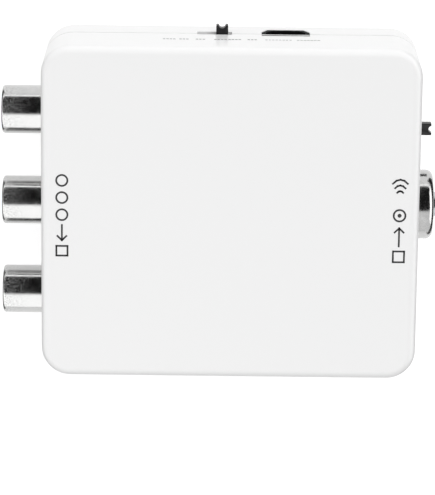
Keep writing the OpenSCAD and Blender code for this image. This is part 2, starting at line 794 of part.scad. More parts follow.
// Knob and carriage in one moulding, at the end of its travel where the switch stands
module switch_knob(proud) {
    reach = sheet_t + fit_gap;
    out = switch_back + wall_t + proud;
    color(black_plastic) translate([switch_travel / 2, 0, 0]) difference() {
        union() {
            translate([-carriage_l / 2, -reach - carriage_t, -carriage_h / 2])
                cube([carriage_l, carriage_t, carriage_h]);
            translate([-knob_w / 2, -reach - carriage_t / 2, -knob_h / 2])
                cube([knob_w, reach + carriage_t / 2 + out, knob_h]);
        }
        translate([0, out + notch_r - notch_depth, -knob_h]) cylinder(r = notch_r, h = 2 * knob_h);
        for (s = [-1, 1])
            translate([-(clip_l + fit_gap) / 2, -reach - carriage_t - overrun, s * clip_z])
                translate([0, 0, -(clip_w + fit_gap) / 2])
                    cube([clip_l + fit_gap, carriage_pocket + overrun, clip_w + fit_gap]);
    }
}

// Two sprung contact clips, seated in the carriage's pockets
module switch_clips() {
    face = -sheet_t - fit_gap - carriage_t + carriage_pocket;
    reach = switch_depth - base_t - terminal_head - fit_gap / 2;
    color(gold) translate([switch_travel / 2, 0, 0]) for (s = [-1, 1])
        translate([0, 0, s * clip_z - clip_w / 2]) {
            translate([-clip_l / 2, face - clip_t, 0]) cube([clip_l, clip_t, clip_w]);
            for (e = [-1, 1])
                translate([e * (clip_l - clip_foot) / 2 - clip_foot / 2, -reach, 0])
                    cube([clip_foot, reach + face, clip_w]);
        }
}

module modulator_shield_frame() {
    color(tin) on_board(shield_shares) difference() {
        translate([-shield_w / 2, -shield_d / 2, 0]) cube([shield_w, shield_d, shield_h]);
        translate([-shield_w / 2 + shield_t, -shield_d / 2 + shield_t, -overrun])
            cube([shield_w - 2 * shield_t, shield_d - 2 * shield_t, shield_h + 2 * overrun]);
    }
}

module modulator_shield_lid() {
    grow = fit_gap / 2 + shield_t;
    w = shield_w + 2 * grow;
    d = shield_d + 2 * grow;
    color(tin) on_board(shield_shares) translate([0, 0, shield_h - shield_rim]) difference() {
        translate([-w / 2, -d / 2, 0]) cube([w, d, shield_rim + shield_t]);
        translate([-w / 2 + shield_t, -d / 2 + shield_t, -overrun])
            cube([w - 2 * shield_t, d - 2 * shield_t, shield_rim + overrun]);
        for (p = shield_hole_shares)
            translate([p[0] * shield_w / 2, p[1] * shield_d / 2, shield_rim - overrun])
                cylinder(r = shield_hole_r, h = shield_t + 2 * overrun);
    }
}

// One bent lead of a chip, pointing along +Y
module chip_lead() {
    middle = chip_stand + chip_h / 2;
    knee = (chip_d + chip_pin_run) / 2;
    translate([-chip_pin_w / 2, 0, 0]) {
        translate([0, chip_d / 2 - chip_pin_t, middle - chip_pin_t / 2])
            cube([chip_pin_w, knee - chip_d / 2 + chip_pin_t, chip_pin_t]);
        translate([0, knee - chip_pin_t, 0]) cube([chip_pin_w, chip_pin_t, middle + chip_pin_t / 2]);
        translate([0, knee - chip_pin_t, 0]) cube([chip_pin_w, chip_pin_run / 2 + chip_pin_t, chip_pin_t]);
    }
}

// A sixteen-lead chip: moulded body and bent leads
module chip() {
    translate([-chip_w / 2, -chip_d / 2, chip_stand]) cube([chip_w, chip_d, chip_h]);
    for (side = [0, 1], k = [0 : chip_pins - 1])
        mirror([0, side, 0]) translate([(k - (chip_pins - 1) / 2) * chip_pin_pitch, 0, 0]) chip_lead();
}

module modulator_chip() {
    color(black_plastic) on_board(shield_shares) chip();
}

module control_chip() {
    color(black_plastic) on_board(control_shares) rotate([0, 0, 90]) chip();
}

// A bar with round ends, standing on z = 0
module stadium(l, w, h) {
    translate([-(l - w) / 2, -w / 2, 0]) cube([l - w, w, h]);
    for (s = [-1, 1]) translate([s * (l - w) / 2, 0, 0]) cylinder(r = w / 2, h = h);
}

module quartz_crystal() {
    color(tin) on_board(crystal_shares) {
        stadium(crystal_l, crystal_w, crystal_base_t);
        stadium(crystal_l - 2 * sheet_t, crystal_w - 2 * sheet_t, crystal_h);
    }
}

module electrolytic_capacitors() {
    color(can_aluminium) for (p = can_shares) on_board(p) {
        translate([-can_base_w / 2, -can_base_w / 2, 0]) cube([can_base_w, can_base_w, can_base_h]);
        rotate_extrude() turned_section(can_r, can_h, can_round);
    }
}

module power_choke() {
    color(ferrite_black) on_board(choke_shares) {
        cylinder(r = choke_r, h = choke_flange);
        cylinder(r = choke_waist_r, h = choke_h);
        translate([0, 0, choke_h - choke_flange]) cylinder(r = choke_r, h = choke_flange);
    }
}

module voltage_regulator() {
    reach = regulator_d / 2 + regulator_lead;
    color(black_plastic) on_board(regulator_shares) {
        translate([-regulator_w / 2, -regulator_d / 2, 0]) cube([regulator_w, regulator_d, regulator_h]);
        translate([-regulator_tab_w / 2, 0, 0]) cube([regulator_tab_w, reach, regulator_lead_t]);
        for (k = [-1 : 1])
            translate([k * regulator_pitch - regulator_lead_w / 2, -reach, 0])
                cube([regulator_lead_w, reach, regulator_lead_t]);
    }
}

// Small block-shaped parts on the board, at the given places
module blocks(places, size) {
    for (p = places) on_board(p) translate([-size[0] / 2, -size[1] / 2, 0]) cube(size);
}

module chip_resistors() {
    color(ferrite_black) blocks(resistor_shares, resistor_size);
}

module chip_capacitors() {
    color(ceramic_tan) blocks(ceramic_shares, ceramic_size);
}

// The jacks stand in a row: video furthest towards +Y, then left sound, then right sound
module video_place() {
    translate([0, jack_pitch, 0]) children();
}

module right_audio_place() {
    translate([0, -jack_pitch, 0]) children();
}

top_cover();
bottom_tray();
case_screws();
circuit_board();
board_screws();
video_place() jack_barrel();  // video_jack_barrel
video_place() jack_body(video_yellow);  // video_jack_body
video_place() jack_contact();  // video_jack_contact
jack_barrel();  // left_audio_jack_barrel
jack_body(audio_white);  // left_audio_jack_body
jack_contact();  // left_audio_jack_contact
right_audio_place() jack_barrel();  // right_audio_jack_barrel
right_audio_place() jack_body(audio_red);  // right_audio_jack_body
right_audio_place() jack_contact();  // right_audio_jack_contact
rf_socket_shell();
rf_socket_insulator();
rf_socket_contact();
power_socket_shell();
power_socket_insulator();
power_socket_contacts();
at_channel() switch_frame();  // channel_switch_frame
at_channel() switch_base();  // channel_switch_base
at_channel() switch_terminals();  // channel_switch_terminals
at_channel() switch_knob(channel_proud);  // channel_switch_knob
at_channel() switch_clips();  // channel_switch_clips
at_system() switch_frame();  // system_switch_frame
at_system() switch_base();  // system_switch_base
at_system() switch_terminals();  // system_switch_terminals
at_system() switch_knob(system_proud);  // system_switch_knob
at_system() switch_clips();  // system_switch_clips
modulator_shield_frame();
modulator_shield_lid();
modulator_chip();
control_chip();
quartz_crystal();
electrolytic_capacitors();
power_choke();
voltage_regulator();
chip_resistors();
chip_capacitors();
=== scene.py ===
# %% [markdown]
# # A small converter box, dressed and lit
# The box takes three phono plugs on one side and feeds a coaxial aerial socket on the other.
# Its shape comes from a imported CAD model, in metres, with every piece in its real place.
# This lesson keeps the CAD solids whose shape is right and gives them proper finishes. It adds
# the small things that CAD leaves out: printed marks, soft edges on the switch knobs, threads,
# solder, windings and the metal ends of the parts on the board.

# %% Load the frame
import math

import bmesh
import bpy
from mathutils import Matrix, Vector


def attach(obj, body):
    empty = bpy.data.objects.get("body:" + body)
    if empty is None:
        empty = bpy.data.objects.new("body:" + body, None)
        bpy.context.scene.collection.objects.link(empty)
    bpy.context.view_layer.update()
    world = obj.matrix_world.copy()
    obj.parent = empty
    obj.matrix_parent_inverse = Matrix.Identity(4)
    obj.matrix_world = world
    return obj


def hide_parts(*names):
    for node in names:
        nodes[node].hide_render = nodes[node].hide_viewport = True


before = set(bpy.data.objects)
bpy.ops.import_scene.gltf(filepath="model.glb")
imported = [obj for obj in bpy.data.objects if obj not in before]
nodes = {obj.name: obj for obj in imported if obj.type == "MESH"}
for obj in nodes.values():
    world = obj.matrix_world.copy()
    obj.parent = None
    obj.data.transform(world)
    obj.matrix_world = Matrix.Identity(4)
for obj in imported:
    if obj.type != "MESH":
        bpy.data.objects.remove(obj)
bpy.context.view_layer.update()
MM = 0.001
scene = bpy.context.scene

# %% [markdown]
# ## The camera
# The photograph looks almost straight down on the lid, from the side with the power socket.
# Its tilt, roll, distance and lens were worked out from the sizes of the jacks and the case.
# A camera can be aimed with a tracking constraint or by three angles. Three axis vectors are
# used here, because they are what the fit gives, and nothing is lost in turning them to angles.

# %% The camera
PHOTO_LONG_SIDE = 495
FOCAL_PIXELS = 3049.1
TILT = 0.2654
ROLL = 0.0116
AIM = (-2.20 * MM, -10.69 * MM)
DISTANCE = 537.6 * MM

level_side = Vector((1, 0, 0))
level_top = Vector((0, math.cos(TILT), -math.sin(TILT)))
back = Vector((0, math.sin(TILT), math.cos(TILT)))
side = level_side * math.cos(ROLL) + level_top * math.sin(ROLL)
top = level_top * math.cos(ROLL) - level_side * math.sin(ROLL)
placing = Matrix((side, top, back)).transposed().to_4x4()
placing.translation = side * AIM[0] + top * AIM[1] + back * DISTANCE

camera_data = bpy.data.cameras.new("camera")
camera_data.lens = FOCAL_PIXELS * camera_data.sensor_width / PHOTO_LONG_SIDE
camera_data.clip_start = 0.01
camera_data.clip_end = 50
camera = bpy.data.objects.new("camera", camera_data)
camera.matrix_world = placing
scene.collection.objects.link(camera)
scene.camera = camera
scene.view_settings.view_transform = "Standard"
print("lens:", round(camera_data.lens, 1), "mm, at:", [round(v, 3) for v in placing.translation])

# %% [markdown]
# ## Helpers for shader nodes
# Every material below is a small tree of nodes. Adding them one by one takes many lines, so
# one helper makes a node and sets its inputs, another links two sockets, by name or by number,
# and a third makes a colour mix. Blender's mix node has a set of sockets for each kind of
# value, and the colour ones are found by their numbers.

# %% Shader helpers
COLOUR_A, COLOUR_B, COLOUR_OUT = 6, 7, 2


def add_node(tree, kind, inputs=None, **settings):
    """Adds a node, with its settings and the values of its inputs."""
    node = tree.nodes.new(kind)
    for name, value in settings.items():
        setattr(node, name, value)
    for name, value in (inputs or {}).items():
        node.inputs[name].default_value = value
    return node


def node_of(tree, kind):
    """The first node of a type in a tree."""
    return next(node for node in tree.nodes if node.type == kind)


def link(tree, source, output, target, entry):
    """Links one node's output to another node's input."""
    tree.links.new(source.outputs[output], target.inputs[entry])


def colour_mix(tree, first=None, second=None):
    """A node that goes from one colour to another with its Factor."""
    mix = add_node(tree, "ShaderNodeMix", data_type="RGBA")
    for entry, colour in ((COLOUR_A, first), (COLOUR_B, second)):
        if colour:
            mix.inputs[entry].default_value = (*colour, 1)
    return mix


def seen_rays(tree):
    """A value that is 1 for rays that show the background: direct, mirrored or through glass."""
    path = add_node(tree, "ShaderNodeLightPath")
    first = add_node(tree, "ShaderNodeMath", operation="ADD", use_clamp=True)
    both = add_node(tree, "ShaderNodeMath", operation="ADD", use_clamp=True)
    link(tree, path, "Is Camera Ray", first, 0)
    link(tree, path, "Is Glossy Ray", first, 1)
    link(tree, first, 0, both, 0)
    link(tree, path, "Is Transmission Ray", both, 1)
    return both


print("shader helpers ready")

# %% [markdown]
# ## The studio
# The photograph is a plain product shot on white. The room is an even white world, seen at
# full white in mirrors and at a lower level by the lamps' side, where it gives soft light.
# The metal barrels show how the real room was built: a dark ceiling on the camera's side, a
# bright panel across from it and a thin bright strip low down. Cards that only mirrors can see
# give the same bands. Three more brighten one side and darken the table beside the box.

# %% The world
AMBIENT = 0.70
world = bpy.data.worlds.new("white_room")
scene.world = world
world.use_nodes = True
room = world.node_tree
room.nodes.clear()
seen = seen_rays(room)
level = add_node(room, "ShaderNodeMapRange", {"To Min": AMBIENT, "To Max": 1.0})
sky = add_node(room, "ShaderNodeBackground", {"Color": (1, 1, 1, 1)})
room_out = add_node(room, "ShaderNodeOutputWorld")
link(room, seen, 0, level, "Value")
link(room, level, "Result", sky, "Strength")
link(room, sky, 0, room_out, 0)
print("world level for soft light:", AMBIENT)

# %% The floor
FLOOR_ALBEDO = 0.55
FLOOR_GLOW = 0.68
FLOOR_DROP = 0.02 * MM
bpy.ops.object.select_all(action="DESELECT")
bpy.ops.mesh.primitive_plane_add(size=12, location=(0, 0, -FLOOR_DROP))
floor = bpy.context.object
floor.name = "floor"
paper = bpy.data.materials.new("white_paper")
paper.use_nodes = True
sheet = paper.node_tree
sheet.nodes.clear()
seen = seen_rays(sheet)
glow_level = add_node(sheet, "ShaderNodeMath", {1: FLOOR_GLOW}, operation="MULTIPLY")
matt = add_node(sheet, "ShaderNodeBsdfDiffuse", {"Color": (FLOOR_ALBEDO,) * 3 + (1,)})
glow = add_node(sheet, "ShaderNodeEmission")
total = add_node(sheet, "ShaderNodeAddShader")
paper_out = add_node(sheet, "ShaderNodeOutputMaterial")
link(sheet, seen, 0, glow_level, 0)
link(sheet, glow_level, 0, glow, "Strength")
link(sheet, matt, 0, total, 0)
link(sheet, glow, 0, total, 1)
link(sheet, total, 0, paper_out, "Surface")
floor.data.materials.append(paper)
print("floor:", floor.dimensions[:2])

# %% Cards that only mirrors can see
CARD_LENGTH = 9
TABLE_GAP = 0.00005
# A band's middle, from straight up towards the power side, and its reach are in degrees. Then
# come its strength and, in metres, its distance and its shift along the box.
BANDS = {
    "dark_ceiling": (33, 84, 0.015, 2.2, 0.0),
    "bright_panel": (-50, 70, 2.0, 2.2, -4.5),
    "lamp_strip": (80, 6, 2.2, 2.0, 0.0),
}
# A flat card has its middle and size in metres, its turn about Y and its strength.
FLAT_CARDS = {
    "bright_side": ((1.5, 0.2, 0.65), (1.3, 3), math.pi / 2, 2.2),
    "dark_table_left": ((-0.225, 0, TABLE_GAP), (0.35, 0.3), 0, 0.02),
    "dark_table_right": ((0.222, 0, TABLE_GAP), (0.35, 0.3), 0, 0.02),
}


def mirror_card(name, middle, size, turn, strength):
    """A glowing card that mirrors see and nothing else does."""
    bpy.ops.mesh.primitive_plane_add(size=1, location=middle, rotation=turn)
    card = bpy.context.object
    card.name = name
    card.scale = (*size, 1)
    paint = bpy.data.materials.new(name)
    paint.use_nodes = True
    paint.node_tree.nodes.clear()
    light = add_node(paint.node_tree, "ShaderNodeEmission", {"Strength": strength})
    out = add_node(paint.node_tree, "ShaderNodeOutputMaterial")
    link(paint.node_tree, light, 0, out, "Surface")
    card.data.materials.append(paint)
    card.visible_camera = card.visible_diffuse = card.visible_shadow = False
    print(name, "at", [round(v, 2) for v in middle])


def band_card(name, angle, reach, strength, distance, shift):
    """A long card across the box that fills this reach of the view from the box."""
    angle = math.radians(angle)
    middle = (shift, math.sin(angle) * distance, math.cos(angle) * distance)
    height = 2 * distance * math.tan(math.radians(reach) / 2)
    mirror_card(name, middle, (CARD_LENGTH, height), (math.pi - angle, 0, 0), strength)


for name, band in BANDS.items():
    band_card(name, *band)
for name, (middle, size, turn, strength) in FLAT_CARDS.items():
    mirror_card(name, middle, size, (0, turn, 0), strength)

# %% Lamps
# Each lamp's place and side length are in metres and its power is in watts.
LAMPS = {
    "key": ((0.6, 1.3, 1.7), 1.4, 18.5),
    "wall_fill": ((0.1, 1.6, 0.35), 1.0, 5),
    "side_fill": ((-1.3, 0.3, 1.2), 1.4, 4),
}


def soft_lamp(name, place, size, watts):
    """A square lamp aimed at the box. Mirrors see the cards and the room, not the lamps."""
    data = bpy.data.lights.new(name, "AREA")
    data.size = size
    data.energy = watts
    lamp = bpy.data.objects.new(name, data)
    lamp.location = place
    lamp.rotation_euler = (-Vector(place)).to_track_quat("-Z", "Y").to_euler()
    lamp.visible_glossy = False
    lamp.visible_camera = False
    scene.collection.objects.link(lamp)
    print(name, watts, "W at", place)


for name, lamp in LAMPS.items():
    soft_lamp(name, *lamp)

# %% [markdown]
# ## Effects that several finishes share
# A moulded or plated surface is never quite even. Five small node groups give that: a fine
# grain with broad patches for mouldings, a mottle for turned metal, a haze of scuffs for worn
# rims, spangle for tinned sheet, and fibres for laminates. Each is built once and gets its own
# sizes in each material. A group gives out only values that change over the surface.

# %% Group helper
def new_group(name, inputs, outputs):
    """A shader group with a Vector input, named number inputs and number outputs."""
    group = bpy.data.node_groups.new(name, "ShaderNodeTree")
    group.interface.new_socket(name="Vector", in_out="INPUT", socket_type="NodeSocketVector")
    for entry, value in inputs.items():
        socket = group.interface.new_socket(
            name=entry, in_out="INPUT", socket_type="NodeSocketFloat")
        socket.default_value = value
    for result in outputs:
        group.interface.new_socket(name=result, in_out="OUTPUT", socket_type="NodeSocketFloat")
    return group, group.nodes.new("NodeGroupInput"), group.nodes.new("NodeGroupOutput")


def per_metre(group, source, entry):
    """Turns a size in millimetres into the scale that a texture node wants."""
    scale = add_node(group, "ShaderNodeMath", {0: 1 / MM}, operation="DIVIDE")
    link(group, source, entry, scale, 1)
    return scale


# %% Moulded skin: fine grain and broad patches
skin_group, entry, result = new_group(
    "moulded_skin", {"Grain mm": 0.2, "Patch mm": 9.0}, ["Grain", "Patches"])
for size, output, detail in (("Grain mm", "Grain", 3.0), ("Patch mm", "Patches", 2.0)):
    scale = per_metre(skin_group, entry, size)
    noise = add_node(skin_group, "ShaderNodeTexNoise", {"Detail": detail, "Roughness": 0.55})
    link(skin_group, entry, "Vector", noise, "Vector")
    link(skin_group, scale, 0, noise, "Scale")
    link(skin_group, noise, "Fac", result, output)
print(skin_group.name, [s.name for s in skin_group.interface.items_tree])

# %% Turned metal: a soft mottle
turned_group, entry, result = new_group("turned_metal", {"Mottle mm": 1.4}, ["Mottle"])
scale = per_metre(turned_group, entry, "Mottle mm")
mottle = add_node(turned_group, "ShaderNodeTexNoise", {"Detail": 5.0, "Roughness": 0.62})
link(turned_group, entry, "Vector", mottle, "Vector")
link(turned_group, scale, 0, mottle, "Scale")
link(turned_group, mottle, "Fac", result, "Mottle")
print(turned_group.name, "built")

# %% Rim haze: fine scuffs that fade in towards one end of X
haze_group, entry, result = new_group(
    "rim_haze", {"Grain mm": 0.3, "Start mm": -34.0, "End mm": -39.0}, ["Haze"])
parts = add_node(haze_group, "ShaderNodeSeparateXYZ")
x_mm = add_node(haze_group, "ShaderNodeMath", {1: 1 / MM}, operation="MULTIPLY")
fade = add_node(haze_group, "ShaderNodeMapRange")
scale = per_metre(haze_group, entry, "Grain mm")
scuffs = add_node(haze_group, "ShaderNodeTexNoise", {"Detail": 5.0, "Roughness": 0.7})
sharp = add_node(haze_group, "ShaderNodeMapRange", {"From Min": 0.42, "From Max": 0.66})
faded = add_node(haze_group, "ShaderNodeMath", operation="MULTIPLY")
link(haze_group, entry, "Vector", parts, 0)
link(haze_group, parts, "X", x_mm, 0)
link(haze_group, x_mm, 0, fade, "Value")
link(haze_group, entry, "Start mm", fade, "From Min")
link(haze_group, entry, "End mm", fade, "From Max")
link(haze_group, entry, "Vector", scuffs, "Vector")
link(haze_group, scale, 0, scuffs, "Scale")
link(haze_group, scuffs, "Fac", sharp, "Value")
link(haze_group, fade, "Result", faded, 0)
link(haze_group, sharp, "Result", faded, 1)
link(haze_group, faded, 0, result, "Haze")
print(haze_group.name, "built")

# %% Spangle: the crystals of tinned or zinc-plated sheet
spangle_group, entry, result = new_group("spangle", {"Crystal mm": 0.7}, ["Crystals", "Haze"])
scale = per_metre(spangle_group, entry, "Crystal mm")
cells = add_node(spangle_group, "ShaderNodeTexVoronoi", {"Randomness": 1.0})
haze = add_node(spangle_group, "ShaderNodeTexNoise", {"Scale": 260.0, "Detail": 4.0})
grey = add_node(spangle_group, "ShaderNodeRGBToBW")
link(spangle_group, entry, "Vector", cells, "Vector")
link(spangle_group, scale, 0, cells, "Scale")
link(spangle_group, cells, "Color", grey, 0)
link(spangle_group, entry, "Vector", haze, "Vector")
link(spangle_group, grey, 0, result, "Crystals")
link(spangle_group, haze, "Fac", result, "Haze")
print(spangle_group.name, "built")

# %% Fibres: woven or streaked laminate
WAVES = {"Distortion": 0.6, "Detail": 2.0}
fibre_group, entry, result = new_group("fibres", {"Thread mm": 0.35}, ["Weave", "Streaks"])
scale = per_metre(fibre_group, entry, "Thread mm")
across = add_node(fibre_group, "ShaderNodeTexWave", WAVES, bands_direction="X")
along = add_node(fibre_group, "ShaderNodeTexWave", WAVES, bands_direction="Y")
weave = add_node(fibre_group, "ShaderNodeMath", operation="MULTIPLY")
stretch = add_node(fibre_group, "ShaderNodeMapping", {"Scale": (1.0, 0.12, 1.0)})
streaks = add_node(fibre_group, "ShaderNodeTexNoise", {"Scale": 2200.0, "Detail": 3.0})
for wave in (across, along):
    link(fibre_group, entry, "Vector", wave, "Vector")
    link(fibre_group, scale, 0, wave, "Scale")
link(fibre_group, across, "Fac", weave, 0)
link(fibre_group, along, "Fac", weave, 1)
link(fibre_group, entry, "Vector", stretch, "Vector")
link(fibre_group, stretch, 0, streaks, "Vector")
link(fibre_group, weave, 0, result, "Weave")
link(fibre_group, streaks, "Fac", result, "Streaks")
print(fibre_group.name, "built")

# %% [markdown]
# ## A finish from a group
# Most finishes need the same four steps: read the object's own coordinates, blend two close
# colours by one mask, vary the roughness by a mask, and bump the surface by a height. One
# function does that and returns the material, so each finish below is a few numbers. The
# numbers that are the same all over stay on the shader's own sockets.

# %% Finish maker
def finish_from(name, group, sizes, dark, light, colour_mask, rough, rough_mask, height, bump,
        **sockets):
    """A material whose colour, roughness and bump follow the outputs of a shared group."""
    material = bpy.data.materials.new(name)
    material.use_nodes = True
    tree = material.node_tree
    shader = tree.nodes["Principled BSDF"]
    place = add_node(tree, "ShaderNodeTexCoord")
    effect = add_node(tree, "ShaderNodeGroup", node_tree=group)
    for size, value in sizes.items():
        effect.inputs[size].default_value = value
    tint = colour_mix(tree, dark, light)
    gloss = add_node(tree, "ShaderNodeMapRange",
        {"From Min": 0.3, "From Max": 0.7, "To Min": rough[0], "To Max": rough[1]})
    relief = add_node(tree, "ShaderNodeBump", {"Strength": bump[0], "Distance": bump[1] * MM})
    link(tree, place, "Object", effect, "Vector")
    link(tree, effect, colour_mask, tint, "Factor")
    link(tree, tint, COLOUR_OUT, shader, "Base Color")
    link(tree, effect, rough_mask, gloss, "Value")
    link(tree, gloss, "Result", shader, "Roughness")
    link(tree, effect, height, relief, "Height")
    link(tree, relief, "Normal", shader, "Normal")
    for socket, value in sockets.items():
        shader.inputs[socket.replace("_", " ")].default_value = value
    material.diffuse_color = (*light, 1)
    print("finish:", name)
    return material


# %% [markdown]
# ## Two materials in one solid
# A chip and its leads are one CAD solid, and so are a capacitor's can and its plastic foot. A
# mask from the object's own coordinates tells them apart: it is 1 outside a band across one
# direction. The solid could be split instead, but its place and shape would then be kept twice.

# %% Band mask and two-tone finish
band_group, entry, result = new_group("outside_band", {"Middle mm": 0.0, "Half mm": 1.0}, ["Mask"])
band_group.interface.new_socket(
    name="Direction", in_out="INPUT", socket_type="NodeSocketVector")
along_band = add_node(band_group, "ShaderNodeVectorMath", operation="DOT_PRODUCT")
in_mm = add_node(band_group, "ShaderNodeMath", {1: 1 / MM}, operation="MULTIPLY")
offset = add_node(band_group, "ShaderNodeMath", operation="SUBTRACT")
distance = add_node(band_group, "ShaderNodeMath", operation="ABSOLUTE")
outside = add_node(band_group, "ShaderNodeMath", operation="GREATER_THAN")
link(band_group, entry, "Vector", along_band, 0)
link(band_group, entry, "Direction", along_band, 1)
link(band_group, along_band, "Value", in_mm, 0)
link(band_group, in_mm, 0, offset, 0)
link(band_group, entry, "Middle mm", offset, 1)
link(band_group, offset, 0, distance, 0)
link(band_group, distance, 0, outside, 0)
link(band_group, entry, "Half mm", outside, 1)
link(band_group, outside, 0, result, "Mask")


def two_tone(base, name, direction, middle, half, colour, metallic):
    """A copy of a finish with another colour outside a band. metallic is inside and outside."""
    material = base.copy()
    material.name = name
    tree = material.node_tree
    shader = tree.nodes["Principled BSDF"]
    band = add_node(tree, "ShaderNodeGroup", node_tree=band_group)
    for entry, value in (("Direction", direction), ("Middle mm", middle), ("Half mm", half)):
        band.inputs[entry].default_value = value
    tint = colour_mix(tree, second=colour)
    shine = add_node(tree, "ShaderNodeMapRange", {"To Min": metallic[0], "To Max": metallic[1]})
    old = shader.inputs["Base Color"].links[0].from_node
    link(tree, node_of(tree, "TEX_COORD"), "Object", band, "Vector")
    link(tree, band, "Mask", tint, "Factor")
    link(tree, old, COLOUR_OUT, tint, COLOUR_A)
    link(tree, tint, COLOUR_OUT, shader, "Base Color")
    link(tree, band, "Mask", shine, "Value")
    link(tree, shine, "Result", shader, "Metallic")
    print("two-tone finish:", name)
    return material


print(band_group.name, "built")

# %% [markdown]
# ## Mouldings
# The case is glossy white plastic with hardly any texture. Its grain is only a thousandth of a
# millimetre deep, which keeps its reflections from looking like glass. The jacks' mouldings
# have a deeper grain, the switch parts are satin black, and the inside of the power socket is
# painted shade: a near-black with its reflection cut low. All come from one maker with other
# numbers.

# %% Moulded finishes
def moulding(name, dark, light, rough, grain=0.18, depth=0.02, **sockets):
    """A moulded plastic with fine grain and patches of slightly different gloss."""
    sizes = {"Grain mm": grain, "Patch mm": 8.0}
    return finish_from(name, skin_group, sizes, dark, light, "Patches", rough, "Patches",
        "Grain", (0.12, depth), **{"IOR": 1.49, **sockets})


white_case = moulding("white_case_plastic", (0.8155, 0.8155, 0.8155), (0.8165, 0.8165, 0.8165),
    (0.275, 0.281), 0.3, 0.001)
video_yellow = moulding("video_plastic", (0.78, 0.48, 0.01), (0.86, 0.55, 0.02), (0.28, 0.40))
left_white = moulding("left_audio_plastic", (0.74, 0.74, 0.70), (0.80, 0.80, 0.77), (0.28, 0.40))
right_red = moulding("right_audio_plastic", (0.46, 0.008, 0.008), (0.56, 0.014, 0.012),
    (0.28, 0.40))
insulator_white = moulding("insulator_plastic", (0.78, 0.77, 0.70), (0.84, 0.83, 0.78),
    (0.42, 0.55))
satin_black = moulding("satin_black_plastic", (0.006, 0.006, 0.007), (0.013, 0.013, 0.014),
    (0.34, 0.48), 0.14, 0.03)
# Painted shade: a near-black with its reflection cut low, for the dark depth of the power socket's
# mouth.
mouth_painted_shade = moulding("mouth_painted_shade_black", (0.003, 0.003, 0.003), (0.006, 0.006, 0.006),
    (0.60, 0.72), 0.14, 0.02, IOR=1.3, Specular_IOR_Level=0.2)
chip_black = moulding("chip_moulding", (0.012, 0.012, 0.013), (0.024, 0.024, 0.025),
    (0.55, 0.72), 0.08, 0.02)
ferrite_grey = moulding("ferrite_grey", (0.016, 0.016, 0.018), (0.045, 0.045, 0.048),
    (0.5, 0.75), 0.10, 0.04)
ceramic_tan = moulding("ceramic_tan", (0.36, 0.24, 0.13), (0.47, 0.33, 0.20),
    (0.35, 0.5), 0.12, 0.02)

# %% [markdown]
# ## Metals
# The barrels and the aerial socket's ring are bright nickel. Real plating mirrors the room with
# a faint mottle, because the brass under it was drawn or turned. The spring contacts and
# the switch frames are duller tinned sheet, and the screws are zinc plated.

# %% Metal finishes
def metal(name, group, sizes, dark, light, masks, rough, bump):
    """A bare metal. masks are the group outputs for colour, roughness and relief."""
    return finish_from(name, group, sizes, dark, light, masks[0], rough, masks[1], masks[2],
        bump, Metallic=1.0)


MOTTLED = ("Mottle", "Mottle", "Mottle")
SPANGLED = ("Crystals", "Haze", "Haze")
HAZED = ("Haze", "Haze", "Haze")
nickel = metal("bright_nickel", turned_group, {"Mottle mm": 1.3}, (0.43, 0.43, 0.427),
    (0.55, 0.55, 0.546), MOTTLED, (0.10, 0.24), (0.25, 0.03))
tin = metal("tin_plate", spangle_group, {"Crystal mm": 0.5}, (0.50, 0.51, 0.52),
    (0.64, 0.65, 0.66), SPANGLED, (0.28, 0.42), (0.2, 0.02))
zinc = metal("zinc_steel", spangle_group, {"Crystal mm": 0.25}, (0.42, 0.43, 0.45),
    (0.55, 0.56, 0.58), SPANGLED, (0.24, 0.38), (0.25, 0.02))
gold = metal("gold_flash", spangle_group, {"Crystal mm": 0.3}, (0.72, 0.47, 0.16),
    (0.84, 0.60, 0.26), HAZED, (0.18, 0.3), (0.15, 0.01))
can_metal = metal("can_aluminium", turned_group, {"Mottle mm": 0.8}, (0.66, 0.67, 0.68),
    (0.78, 0.79, 0.80), MOTTLED, (0.27, 0.36), (0.12, 0.003))
solder = metal("solder", spangle_group, {"Crystal mm": 0.3}, (0.56, 0.57, 0.58),
    (0.72, 0.73, 0.74), HAZED, (0.12, 0.3), (0.2, 0.02))
copper = metal("copper_wire", turned_group, {"Mottle mm": 0.6}, (0.56, 0.20, 0.08),
    (0.68, 0.28, 0.12), MOTTLED, (0.2, 0.32), (0.15, 0.01))

# %% Barrel nickel: bright nickel with scuffs towards the rim
SCUFFED_METAL = 0.55
barrel_nickel = nickel.copy()
barrel_nickel.name = "barrel_nickel"
tree = barrel_nickel.node_tree
scuffed = add_node(tree, "ShaderNodeGroup", node_tree=haze_group)
dull = add_node(tree, "ShaderNodeMapRange", {"To Min": 1.0, "To Max": SCUFFED_METAL})
link(tree, node_of(tree, "TEX_COORD"), "Object", scuffed, "Vector")
link(tree, scuffed, "Haze", dull, "Value")
link(tree, dull, "Result", tree.nodes["Principled BSDF"], "Metallic")
print("finish:", barrel_nickel.name)

# %% [markdown]
# ## Laminates
# The board is glass cloth under a green lacquer, with copper that shows through as lighter
# green. Square cells part it into blocks. In some the tracks run along, in some across, and the
# rest are filled with copper. The cloth's weave shows faintly between the tracks. A picture of
# a real layout would say more, but it isn't needed under a lid. The switch bases are brown
# paper laminate.

# %% Board and base finishes
BLOCK = 7 * MM
TRACK_UNIT = 4 * MM
BRICKS = {"Color1": (0, 0, 0, 1), "Color2": (0, 0, 0, 1), "Mortar": (1, 1, 1, 1),
    "Scale": 1 / TRACK_UNIT, "Mortar Size": 0.045, "Mortar Smooth": 0.1, "Brick Width": 5.3}
# Each way's turn and the height of its rows.
TRACK_WAYS = ((0, 0.28), (math.pi / 2, 0.36))
ACROSS_ABOVE = 0.55
FILLED_BELOW = 0.40
FILL = (0.55, 0.55, 0.55)
COPPER_GREEN = (0.035, 0.22, 0.075)

